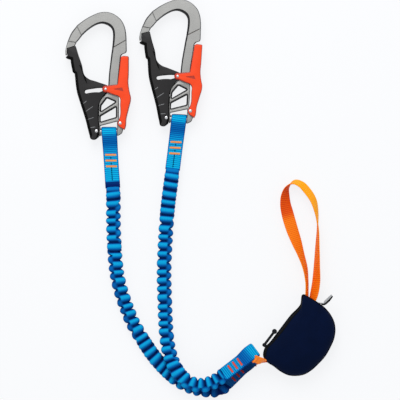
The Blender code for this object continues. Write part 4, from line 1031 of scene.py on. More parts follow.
    def frame(self) -> Object:
        """Forged frame: hook, spine, lattice with two windows, bar and gate lug, in one.

        Returns:
            The piece.
        """
        unit = self.grid
        (left, low), (right, high) = self.EYE_SLOT
        outline = np.vstack([
            drawn(self.LATTICE), circle(self.lever_rivet, self.LEVER_BOSS, 14, 110, -10),
            drawn(self.FOOT), [(right, self.FOOT[-1][1]), (right, high), (left, low),
                               (left, self.LATTICE_LEFT[0][1])], drawn(self.LATTICE_LEFT)])
        windows = [self.rounded(np.array(window), self.WINDOW_CORNER) for window in self.WINDOWS]
        hole = circle(self.lever_rivet, self.RIVET_HOLE)
        lattice = plate(self.named("lattice_blank"),
                        [loop * unit for loop in (outline, *windows, hole)], -self.lattice_half,
                        self.lattice_half, self.lattice_rims, [FACED, EDGE], self.carried)
        boss = circle(self.gate_rivet, self.GATE_BOSS, 14, 160, 290)
        lug_points = np.vstack([self.LUG[:1], boss, self.LUG[1:]])
        lug = plate(self.named("lug_blank"), [lug_points * unit], -self.lug_half, self.lug_half,
                    [self.small_rim], [EDGE], self.carried)
        ring = circle((0, 0), self.bar_radius, 32)
        bar = np.stack([np.column_stack([np.full(len(ring), end * unit), ring])
                        for end in (left - self.BAR_OVERLAP, right + self.BAR_OVERLAP)])
        shaft = skin(self.named("bar_blank"), self.carried(bar), [FACED])
        whole = carved(self.hook(), [lattice, lug, shaft], "UNION")
        whole.name = self.named("anodised_frame")
        softened = whole.modifiers.new("soft_edges", "BEVEL")
        softened.width = self.soft_edge
        softened.segments = 2
        softened.limit_method = "ANGLE"
        softened.angle_limit = math.radians(self.soft_edge_deg)
        return whole

    @staticmethod
    def rounded(loop: Array, radius: float) -> Array:
        """Polygon with each corner cut back by a radius along both sides and rounded.

        Args:
            loop: The corners.
            radius: How far each is cut back.

        Returns:
            The rounded outline.
        """
        behind = unit_rows(np.roll(loop, 1, axis=0) - loop) * radius
        ahead = unit_rows(np.roll(loop, -1, axis=0) - loop) * radius
        t = np.linspace(0, 1, 5)[None, :, None]
        curve = ((1 - t) ** 2 * (loop + behind)[:, None] + 2 * t * (1 - t) * loop[:, None]
                 + t**2 * (loop + ahead)[:, None])
        return curve.reshape(-1, 2)

    def slot(self) -> Array:
        """Lock pin's slot about the gate's rivet, with a latch notch at its right end.

        The pin's way in the gate is its turn about the lever's rivet, carried back by the gate's
        own turn. The plane is taken as complex numbers.

        Returns:
            The slot's outline in metres.
        """
        rivet, pivot, pin = (complex(*spot) * self.grid for spot in (
            self.gate_rivet, self.lever_rivet, self.lock_pin))
        gate = 1j * np.radians(np.linspace(0, self.GATE_TRAVEL_DEG, 9))
        path = (pivot + (pin - pivot) * np.exp(gate * self.LEVER_RATIO) - rivet) * np.exp(gate)
        start = abs(path[0])
        middle = start - self.slot_drop
        radius = np.maximum(abs(path) + self.pin_hole, middle + self.slot_half)
        left, right, notch = np.radians(self.SLOT_DEG)
        return np.vstack([
            polar(radius, np.arctan2(path.real, path.imag)),
            polar(middle, left) + polar(self.slot_half, left - np.linspace(0, math.pi, 11)),
            polar(middle - self.slot_half, np.linspace(left, right, 9)[1:]),
            polar(start - self.pin_hole, notch),
            circle((path[0].real, path[0].imag), self.pin_hole, 8, -60, 60)])

    def gate(self) -> Object:
        """Gate: a moulded channel with a broad polished flank, a slot and grip ribs.

        Returns:
            The piece.
        """
        centre = np.array(self.gate_rivet)
        start, end = np.arcsin(np.array(self.TIP_ENDS) / self.TIP_RADIUS)
        tip = centre + polar(self.TIP_RADIUS, np.linspace(start, end, 10))
        left, right = drawn(self.GATE_LEFT), drawn(self.GATE_RIGHT)
        outline = (np.vstack([tip, left, right]) - centre) * self.grid
        # The flank on the left, in painted shade, is a broad slope that dies out at both its ends
        least, more, beside = self.GATE_RIMS
        slope = ease(left[:, 1], *self.FLANK_TOP) * ease(left[:, 1], *self.FLANK_FOOT)
        flank = np.concatenate([np.full(len(tip), least), least + more * slope,
                                np.full(len(right), beside)]) * MM
        gate = plate(self.named("moulded_gate"),
                     [outline, self.slot(), circle((0, 0), self.pivot_hole)], -self.gate_half,
                     self.gate_half, [flank, self.slot_rim, self.small_rim], [MOULDED, FLANK],
                     self.about(self.gate_rivet), drop=self.gate_drop)
        hollow = self.cutter("gate_hollow", np.array(self.GATE_HOLLOW), -self.gate_hollow_half,
                             self.gate_hollow_half, FLANK)
        return carved(gate, [hollow, *self.pockets(self.GATE_POCKET, self.gate_half,
                                                   self.gate_pocket_depth, FLANK)])

    def cutter(self, name: str, loop: Array, low: float, high: float, finish: Finish) -> Object:
        """Sharp-edged plate for a Boolean, from an outline in grid squares."""
        return plate(self.named(name), [loop * self.grid], low, high, [TINY], [finish],
                     self.carried, drop=TINY, steps=1)

    def pockets(self, outline: tuple, half: float, depth: float, finish: Finish) -> list[Object]:
        """Cutters of one shallow pocket in both faces of a piece.

        Args:
            outline: Corners in grid squares.
            half: Half of the piece's thickness.
            depth: The pocket's depth.
            finish: Finish of its walls and floor.

        Returns:
            The two cutters.
        """
        loop = self.rounded(np.array(outline), self.POCKET_CORNER)
        return [self.cutter(f"pocket_{way}", loop, *sorted((way * (half - depth),
                                                            way * (half + depth))), finish)
                for way in (1, -1)]

    def ribs(self) -> Object:
        """Grip ribs on the gate's flank: slim rounded bars on both faces, grey with a painted
        highlight.

        Returns:
            The piece.
        """
        bars = []
        ring = circle((0, 0), self.rib_radius, 10)
        swell = np.sin(np.linspace(self.RIB_END, math.pi - self.RIB_END, 9))[:, None] ** 0.5
        for number, (x0, y0, x1, y1) in enumerate(self.RIBS):
            line = np.linspace((x0, y0), (x1, y1), len(swell)) * self.grid
            for way in (1, -1):
                height = np.full(len(line), way * (self.gate_half - self.rib_sink))
                path = Path.level(self.carried(np.column_stack([line, height])))
                grid = path.around(ring[:, 0] * swell, ring[:, 1] * swell * self.RIB_FLATNESS)
                bars.append(skin(f"rib_{number}_{way}", grid, [RIB]))
        return joined(self.named("gate_grip_ribs"), bars)

    def lever(self) -> Object:
        """Palm lever: a channel open towards the spine, with an arm over the gate's slot.

        Returns:
            The piece.
        """
        centre = np.array(self.lever_rivet)
        outline = np.vstack([
            drawn(self.LEVER), circle(self.lock_pin, self.ARM_END_RADIUS, 16, *self.ARM_END_DEG),
            drawn(self.LEVER_INNER)])
        holes = [circle((0, 0), self.pivot_hole),
                 (circle(self.lock_pin, self.pin_hole / self.grid) - centre) * self.grid]
        # The rim, in painted shade, is wider on the arm that reaches over the gate
        arm = ease(outline[:, 0], *self.ARM_ACROSS) * ease(outline[:, 1], *self.ARM_UP)
        least, more = self.LEVER_RIMS
        lever = plate(self.named("palm_lever"), [(outline - centre) * self.grid, *holes],
                      -self.lever_half, self.lever_half,
                      [(least + more * arm) * MM, self.small_rim, self.small_rim],
                      [LEVER_RED, LEVER_EDGE], self.about(self.lever_rivet))
        reach = self.gate_half + self.play
        hollow = self.cutter("lever_hollow", np.array(self.LEVER_HOLLOW), -reach, reach,
                             LEVER_EDGE)
        return carved(lever, [hollow, *self.pockets(self.LEVER_POCKET, self.lever_half,
                                                    self.lever_pocket_depth, LEVER_EDGE)])

    def rivet(self, name: str, spot: Spot, shaft: float, head: float, half: float) -> Object:
        """Rivet: its shank and a low domed head outside each face.

        Args:
            name: Name of the piece.
            spot: Its place in grid squares.
            shaft: The shank's radius.
            head: The head's radius.
            half: Half of the height between the heads.

        Returns:
            The piece.
        """
        top = half + self.head_gap
        edge, dome = self.HEAD_SHARES
        curve = [(head * math.cos(a) + TINY, top + self.head_height * (edge + dome * math.sin(a)))
                 for a in np.linspace(0, math.pi / 2, 6)]
        profile = [(shaft, 0), (shaft, top), (head, top), *curve]
        both = [(r, -h) for r, h in reversed(profile[1:])] + profile
        return turned(self.named(name), both, RIVET, self.about(spot))

    def build(self) -> None:
        """Makes every piece of the carabiner and fixes it to its body."""
        body, gate_body, lever_body = (self.named(part) for part in (
            "carabiner", "gate_body", "lever_body"))
        for piece, carrier, slot, node in (
                (self.frame(), body, "forged_frame", "frame"),
                (self.gate(), gate_body, "black_moulding", "gate"),
                (self.ribs(), gate_body, "black_moulding", None),
                (self.lever(), lever_body, "orange_lever", "lever")):
            fix(piece, carrier, slot, node and self.named(node))
        for name, spot, radii, half, carrier, node in (
                ("gate_pivot", self.gate_rivet, self.pivot_radii, self.gate_half, body,
                 "gate_rivet"),
                ("lever_pivot", self.lever_rivet, self.pivot_radii, self.lever_half, body,
                 "lever_rivet"),
                ("latch_pin", self.lock_pin, self.pin_radii, self.lever_half, lever_body,
                 "lock_pin")):
            fix(self.rivet(name, spot, *radii, half), carrier, "rivet_steel", self.named(node))
        for node, finish in (("gate_spring", SPRING), ("lever_spring", SPRING),
                             ("gate_spacer", SPACER), ("lever_spacer", SPACER)):
            dress_node(self.named(node), finish)


def dress_node(node: str, finish: Finish) -> None:
    """Gives a kept CAD node a finish.

    Args:
        node: The node's name.
        finish: Its finish.
    """
    materials = bpy.data.objects[node].data.materials
    if not materials:
        materials.append(None)
    for index in range(len(materials)):
        materials[index] = finish.material()


@dataclass
class StretchArm(Sided):
    """One arm: a gathered tube over its elastic, with a sewn eye at each end."""
    bar: Place
    bar_turn_deg: float
    lean_deg: float
    lower_place: Place
    lower_turn_deg: float
    lower_tilt_deg: float
    route: tuple[Place, ...]
    plies: tuple[Spot, ...]
    tones: tuple[Spot, ...]
    unders: tuple[Spot, ...]
    slant: float
    lower_webbing: Finish
    lower_thread: Finish
    eye_offset: float = -0.1 * MM
    bar_radius: float = 4.3 * MM
    clearance: float = 0.35 * MM
    ply: float = 1.5 * MM
    width: float = 17.8 * MM
    upper_length: float = 66.0 * MM
    upper_taper: float = 20.0 * MM
    lower_length: float = 50.0 * MM
    lower_straight: float = 10.5 * MM
    lower_taper: float = 12.0 * MM
    lower_half: float = 1.3 * MM
    lower_bow: float = 0.0
    sleeve_half_width: float = 8.9 * MM
    sleeve_half_height: float = 6.1 * MM
    flat_run: float = 12.0 * MM
    pitch: float = 10.26 * MM
    tuck: float = 3.0 * MM
    bore: float = 3.1 * MM
    core_radius: float = 2.6 * MM
    tack_pitch: float = 6.8 * MM
    tack_width: float = 2.3 * MM
    tack_height: float = 0.65 * MM
    tack_sink: float = 0.35 * MM
    upper_tack_place: float = 27 * MM
    lower_tack_place: float = 12 * MM
    upper_tack_span: float = 13 * MM
    lower_tack_span: float = 11 * MM
    seam_length: float = 15 * MM
    stitch_pitch: float = 2.6 * MM
    stitch_half: float = 1.2 * MM
    stitch_radius: float = 0.46 * MM
    ply_gap: float = 0.1 * MM

    # The folds' drift along the tube: sizes and lengths of two waves, and the slant's length
    DRIFTS = ((0.35, 47 * MM), (0.25, 21.3 * MM))
    SLANT_LENGTH = 250 * MM
    # Runs over which the tube goes from flat to gathered, from its start and from its end
    LOOSE_START = (4.5 * MM, 9 * MM)
    LOOSE_END = (0.5 * MM, 4 * MM)
    # Shares of the half width and of the half height that a fold takes, and a flat end
    WIDTH_SHARES = (0.44, 0.1)
    HEIGHT_SHARES = (0.36, 0.4)
    # Superellipse powers of the tube's section, and of the folds' wave
    SECTION_POWERS = (0.85, 0.75)
    FOLD_POWER = 0.6
    # Rings to a fold, points of a ring, rings of the bore, and the cloth map's stretch
    FOLD_RINGS = 20
    COLUMNS = 64
    BORE_RINGS = 60
    CLOTH_STRETCH = 1.6
    # Rises of the section between which the tube's underside goes over into its top
    TOP_RISE = (-0.2, 0.2)
    # How far over the width the front ply reaches, what that loses as it comes from one side,
    # the leads between which it does, and the run outside and inside the ply's edge
    PLY_REACH = (0.62, 0.22)
    PLY_LEADS = (0.8, 1)
    PLY_EDGE = (0.12, 0.24)
    # Share by which the back ply lies lower, and between which rises
    BACK_DROP = 0.22
    BACK_RISE = (-0.2, 0.4)
    # Light over a fold, in parts of its wave: where it comes, where it goes, and how much goes
    LIGHT_START = (0.1, 0.32)
    LIGHT_END = (0.42, 0.98)
    LIGHT_LOSS = 0.95
    # The back ply's light: its least, and the power of the fold's
    BACK_LIGHT = (0.2, 0.7)
    # A flat end's light, how much goes, and between which distances
    FLAT_LIGHT = (0.62, 0.8)
    FLAT_DISTANCES = (4 * MM, 6.5 * MM)
    # How much of the light goes at both sides, and between which shares of the width
    SIDE_LOSS = 0.45
    SIDE_SHARES = (0.9, 0.99)
    # Least share of the half height at a tucked end
    TUCK_LEAST = 0.2
    # Most of the tube's half height that its bore may take
    BORE_LIMIT = 0.8
    # The core: rings, points of a ring, tucks that each end stays away, braid's size and turns
    CORE_RINGS = 160
    CORE_COLUMNS = 16
    CORE_BARE = 3
    BRAID = (0.04, 4)
    # Share of the tuck by which the tube runs over an eye
    EYE_OVERLAP = 0.8
    # Points along an eye's ply, and round its fold with both ends
    EYE_STEPS = (90, 26)
    # Points along a tack and over it, and how far it is lifted
    TACK_STEPS = (92, 12)
    TACK_LIFT = 0.02 * MM
    # A stitch: height of its middle over its ends in millimetres, and the share of the section's
    # curve that its taper takes
    STITCH_RISE = 0.3
    STITCH_SHARE = 0.96
    # A tack's thread: turns along it, slant across it, its least height, and its ragged edge
    THREAD_TURNS = 44
    THREAD_SLANT = 1.4
    THREAD_LEAST = 0.72
    RAGGED_SHARE = 0.06
    RAGGED_TURNS = 61
    # Distances from an eye's fold in millimetres between which its bow dies out
    BOW_RUN = (21, 5)
    # Share of an eye's painted light left along its edges, a painted shade there
    EYE_EDGE_LIGHT = 0.45
    # Along an eye: distance from the fold in millimetres, light value, share of the width
    UPPER_TONES = ((0, 0.0, 1.0), (1.2, 0.1, 1.0), (2.0, 0.95, 1.0), (6.5, 1.0, 1.0),
                   (8.5, 0.85, 1.0), (11, 0.55, 1.0), (19, 0.45, 1.0), (24, 0.6, 0.99),
                   (30, 0.78, 0.98), (42, 0.88, 0.97), (50, 0.97, 0.97), (64.2, 1.0, 0.98),
                   (65.0, 0.1, 0.98), (70, 0.0, 0.98))
    LOWER_TONES = ((0, 0.7, 0.97), (1.5, 0.92, 1.02), (7, 0.95, 1.06), (9, 0.78, 1.07),
                   (13, 0.55, 1.06), (20, 0.45, 0.99), (23.5, 0.5, 0.95), (25, 0.76, 0.95),
                   (44, 0.84, 0.95), (46, 0.9, 0.95), (48.6, 0.8, 0.9), (50, 0.3, 0.8))

    def upper_frame(self) -> tuple[Array, ...]:
        """Middle of the bar in the eye, and the eye's length and width directions.

        Returns:
            Middle, length direction and width direction.
        """
        turn, lean = math.radians(self.bar_turn_deg), math.radians(self.lean_deg)
        across = np.array((math.cos(turn), math.sin(turn), 0))
        along = np.array((math.sin(lean), -math.cos(lean), 0))
        return np.array(self.bar) + across * self.eye_offset, along, across

    def lower_frame(self) -> tuple[Array, ...]:
        """Start of the lower eye, and its length, width and face directions.

        Returns:
            Start, length direction, width direction and face direction.
        """
        turn, tilt = math.radians(self.lower_turn_deg), math.radians(self.lower_tilt_deg)
        forward = np.array((math.cos(turn), math.sin(turn), 0))
        level = np.array((math.sin(turn), -math.cos(turn), 0))
        across = level * math.cos(tilt) + UP * math.sin(tilt)
        return np.array(self.lower_place), forward, across, np.cross(across, forward)

    def line(self) -> Array:
        """Smooth route from the upper eye's end to the lower eye's start.

        Returns:
            The route's points.
        """
        centre, along, _ = self.upper_frame()
        fold = self.bar_radius + self.clearance + self.ply
        start = centre + along * (self.upper_length - self.tuck * self.EYE_OVERLAP - fold)
        place, forward, _, _ = self.lower_frame()
        end = place + forward * self.tuck * self.EYE_OVERLAP
        first, last = start + along * self.flat_run, end - forward * self.flat_run
        points = np.vstack([start, first, self.route, last, end])
        marks = np.zeros(len(points), bool)
        marks[[1, -2]] = True
        return smooth(points, 10, marks) + LAYOUT

    def sleeve(self) -> tuple[Object, Path]:
        """Gathered tube.

        Each ply's folds are a rounded wave along the tube: the root of a cosine's size. The two
        plies are half a fold apart. The front one lies over most of the width from one side,
        and the back one's folds stand out beyond it on the other side, a little lower.

        Returns:
            The piece and the path that it follows.
        """
        path = level_path(self.line(), self.pitch / self.FOLD_RINGS)
        travel, length = path.travel[:, None], path.length
        theta = np.linspace(0, math.tau, self.COLUMNS, endpoint=False)[None, :]
        side, rise = np.cos(theta), np.sin(theta)
        lead, tone, under = (np.interp(travel, *(np.array(table).T * ((length,), (1,))))
                             for table in (self.plies, self.tones, self.unders))
        (big, long), (small, short) = self.DRIFTS
        drift = (big * np.sin(math.tau * travel / long + lead)
                 + small * np.sin(math.tau * travel / short + 1.1))
        slant = self.slant * np.cos(math.tau * travel / self.SLANT_LENGTH) * side
        phase = math.tau * travel / self.pitch + drift + slant
        upper, lower = np.abs(np.cos(phase / 2)), np.abs(np.sin(phase / 2))
        top = ease(rise, *self.TOP_RISE)
        whole, lost = self.PLY_REACH
        reach = whole - lost * ease(np.abs(lead), *self.PLY_LEADS)
        outside, inside = self.PLY_EDGE
        front = (top * ease(side * lead, -reach - outside, inside - reach)
                 + (1 - top) * ease(side * lead, reach - inside, reach + outside))
        loose = ease(travel, *self.LOOSE_START) * ease(length - travel, *self.LOOSE_END)
        crest = front * upper**self.FOLD_POWER + (1 - front) * lower**self.FOLD_POWER
        fold = 1 - crest
        tuck = ease(travel, 0, self.tuck) * ease(length - travel, 0, self.tuck)
        wide, high = (half * (1 - loose * deep * fold - (1 - loose) * flat)
                      for half, (deep, flat) in ((self.sleeve_half_width, self.WIDTH_SHARES),
                                                 (self.sleeve_half_height, self.HEIGHT_SHARES)))
        lower_back = self.BACK_DROP * loose * (1 - front) * ease(rise, *self.BACK_RISE)
        high = high * (self.TUCK_LEAST + (1 - self.TUCK_LEAST) * tuck) * (1 - lower_back)
        x, z = (half * np.sign(turn) * np.abs(turn) ** power for half, turn, power in zip(
            (wide, high), (side, rise), self.SECTION_POWERS))
        thin = np.minimum(self.bore, self.BORE_LIMIT * high.min(axis=1, keepdims=True))
        step = max(1, len(path.centres) // self.BORE_RINGS)
        picked = np.unique(np.append(np.arange(0, len(path.centres), step),
                                     len(path.centres) - 1))[::-1]
        inner = path.around(self.bore * side, thin * rise)[picked]
        # Painted light over the folds: lit on the front ply's crests, painted shade down in the
        # folds, on the back ply, at the flat ends and along both sides, times the arm's painted
        # tone
        light, back_light = (
            ease(turn, *self.LIGHT_START) * (1 - self.LIGHT_LOSS * ease(turn, *self.LIGHT_END))
            for turn in (np.mod(phase / math.tau + 0.5, 1), np.mod(phase / math.tau, 1)))
        least, power = self.BACK_LIGHT
        band = front * light + (1 - front) * under * (least + (1 - least) * back_light**power)
        most, lost = self.FLAT_LIGHT
        flat = most * (1 - lost * ease(travel, *self.FLAT_DISTANCES))
        sides = 1 - self.SIDE_LOSS * ease(np.abs(side), *self.SIDE_SHARES)
        shade = (band * loose + flat * (1 - loose)) * sides * tone
        painted_light = np.vstack([shade, np.zeros(inner.shape[:2])])
        around = np.linspace(0, 1, self.COLUMNS + 1)[None, :] * 4 * self.sleeve_half_width
        along = np.append(path.travel, path.travel[picked])[:, None] * self.CLOTH_STRETCH
        piece = skin(self.named("gathered_sleeve"), np.vstack([path.around(x, z), inner]),
                     [SLEEVE], wrap_rows=True, cloth=cloth_map(along, around), painted_light=painted_light)
        return piece, path

    def core(self, path: Path) -> Object:
        """Braided elastic inside the tube: two waves round it stand for the braid.

        Args:
            path: The tube's path.

        Returns:
            The piece.
        """
        step = max(1, len(path.centres) // self.CORE_RINGS)
        bare = self.CORE_BARE * self.tuck
        line = Path.level(path.centres[(path.travel > bare)
                                       & (path.travel < path.length - bare)][::step])
        theta = np.linspace(0, math.tau, self.CORE_COLUMNS, endpoint=False)[None, :]
        travel = line.travel[:, None]
        size, turns = self.BRAID
        radius = self.core_radius * (1 + size * np.sin(theta * turns + travel / MM)
                                     * np.sin(theta * turns - travel / MM))
        around = np.linspace(0, math.tau * self.core_radius, self.CORE_COLUMNS + 1)[None, :]
        return skin(self.named("braided_core"),
                    line.around(radius * np.cos(theta), radius * np.sin(theta)), [ELASTIC],
                    cloth=cloth_map(travel, around))

    def eye(self, name: str, centre: Array, along: Array, across: Array, length: float,
            straight: float, taper: float, inner: float, finish: Finish, tones: tuple,
            bow: float = 0.0) -> Object:
        """Folded webbing: one strap from the upper ply's end round the fold and back under.

        Args:
            name: Name of the piece.
            centre: Middle of the fold.
            along: Direction from the fold to the sewn end.
            across: Width direction.
            length: Length from the fold's outside to the end.
            straight: Run that keeps its full height.
            taper: Run over which both plies come together.
            inner: Half of the tunnel's height.
            finish: Its finish.
            tones: Distance from the fold's outside in millimetres, light value, width share.
            bow: How far the fold's end is drawn sideways.

        Returns:
            The piece.
        """
        half = inner + self.ply / 2
        flat = self.ply / 2 + self.ply_gap
        run = length - inner - self.ply
        plies, bends = self.EYE_STEPS
        x = np.linspace(run, 0, plies)
        height = flat + (half - flat) * (1 - ease(x, straight, straight + taper))
        turn = np.linspace(math.pi / 2, -math.pi / 2, bends)[1:-1]
        upper = np.column_stack([x, height])
        bend = np.column_stack([-half * np.cos(turn), half * np.sin(turn)])
        lower = np.column_stack([x[::-1], -height[::-1]])
        drawing = np.vstack([upper, bend, lower])
        face = np.cross(along, across)
        face = face / np.linalg.norm(face)
        if face[2] < 0:
            face = -face
        centres = centre + LAYOUT + drawing[:, :1] * along + drawing[:, 1:] * face
        place = (drawing[:, 0] + inner + self.ply) / MM
        centres = centres + across * (bow * ease(place, *self.BOW_RUN))[:, None]
        table = np.array(tones).T
        path = Path(centres, np.tile(across, (len(centres), 1)))
        return tape(self.named(name), path, self.width * np.interp(place, table[0], table[2]),
                    self.ply, [finish], 20, np.interp(place, table[0], table[1]),
                    self.EYE_EDGE_LIGHT)

    def stitches(self, name: str, start: Array, along: Array, across: Array, face: Array,
                 finish: Finish, span: float, seam: float) -> Object:
        """Three bar tacks of close zigzag thread, and the seam's stitches beyond them.

        Each tack is a low rounded bar whose height follows the thread's turns, a slanted wave
        along it.

        Args:
            name: Name of the piece.
            start: Middle of the first tack.
            along: Direction from tack to tack.
            across: Direction of a tack.
            face: Direction off the webbing.
            finish: The tacks' finish.
            span: Length of a tack.
            seam: Length of the seam.

        Returns:
            The piece.
        """
        count, columns = self.TACK_STEPS
        place = np.linspace(-1, 1, count)
        wide = np.sin(np.linspace(-math.pi / 2, math.pi / 2, columns))
        ring = np.append(wide, wide[-2:0:-1])[None, :]
        ends = bulged(place)[:, None]
        turns = place[:, None] * self.THREAD_TURNS + wide[None, :] * self.THREAD_SLANT
        thread = self.THREAD_LEAST + (1 - self.THREAD_LEAST) * np.abs(np.cos(turns))
        up = self.tack_height * bulged(wide, 4)[None, :] * ends * thread
        under = np.full((count, len(wide) - 2), -self.tack_sink) * ends
        height = np.hstack([up, under]) + self.TACK_LIFT
        wave = np.sin(place * self.RAGGED_TURNS)[:, None]
        ragged = 1 + self.RAGGED_SHARE * wave * np.sign(ring)
        width = ring * ragged * self.tack_width / 2
        length = (place * span / 2)[:, None] + 0 * width
        grid = (start + LAYOUT + along * width[..., None] + across * length[..., None]
                + face * height[..., None])
        cloth = cloth_map(*(np.append(table, table[:, :1], axis=1) for table in (length, width)))
        bars = [skin(f"tack_{number}", grid + along * number * self.tack_pitch, [finish],
                     cloth=cloth) for number in range(3)]
        if seam:
            first = 2 * self.tack_pitch + self.tack_width
            t = np.linspace(-1, 1, 9)[:, None]
            ring = circle((0, 0), self.stitch_radius, 8)
            swell = bulged(t * self.STITCH_SHARE, 4)[..., None]
            grid = (start + LAYOUT + along * t * self.stitch_half
                    + face * (self.STITCH_RISE * (1 - t**2)) * MM)[:, None]
            grid = grid + across * ring[None, :, :1] * swell + face * ring[None, :, 1:] * swell
            bars += [skin(f"stitch_{number}", grid + along * spot, [SEAM]) for number, spot in
                     enumerate([self.tack_pitch / 2, self.tack_pitch * 1.5,
                                *np.arange(first, first + seam, self.stitch_pitch)])]
        return joined(self.named(name), bars)

    def build(self) -> None:
        """Makes the arm's pieces and fixes them to the lanyard."""
        sleeve, path = self.sleeve()
        core = self.core(path)
        centre, along, across = self.upper_frame()
        upper = self.eye("folded_upper_eye", centre, along, across, self.upper_length, 0.0,
                         self.upper_taper, self.bar_radius + self.clearance, WEBBING,
                         self.UPPER_TONES)
        top = self.ply + self.ply_gap
        tacks = self.stitches("upper_bar_tacks", centre + along * self.upper_tack_place + UP * top,
                              along, across, UP, TACK, self.upper_tack_span, self.seam_length)
        place, forward, width, face = self.lower_frame()
        back = self.lower_length - self.lower_half - self.ply
        lower = self.eye("folded_lower_eye", place + forward * back, -forward, width,
                         self.lower_length, self.lower_straight, self.lower_taper,
                         self.lower_half, self.lower_webbing, self.LOWER_TONES, self.lower_bow)
        lower_tacks = self.stitches(
            "lower_bar_tacks", place + forward * self.lower_tack_place + face * top, forward,
            width, face, self.lower_thread, self.lower_tack_span, 0)
        for piece, slot, node in (
                (sleeve, "blue_webbing", "arm_sleeve"), (core, "elastic", "elastic_core"),
                (upper, "blue_webbing", "upper_eye"), (tacks, "tack_thread", "upper_tacks"),
                (lower, "blue_webbing", "lower_eye"),
                (lower_tacks, "tack_thread_red", "lower_tacks")):
            fix(piece, "lanyard", slot, self.named(node))
        tuple(path.centres[0])
        path.length
        [tuple(p) for p in path.centres[::9]]


def station_path(stations: list, width: float) -> Path:
    """Smooth path through stations: each a place and the direction of the tape's width."""
    curve = smooth(np.array([(*place, *np.array(way) * width) for place, way in stations]), 10)
    return Path(curve[:, :3] + LAYOUT, curve[:, 3:])


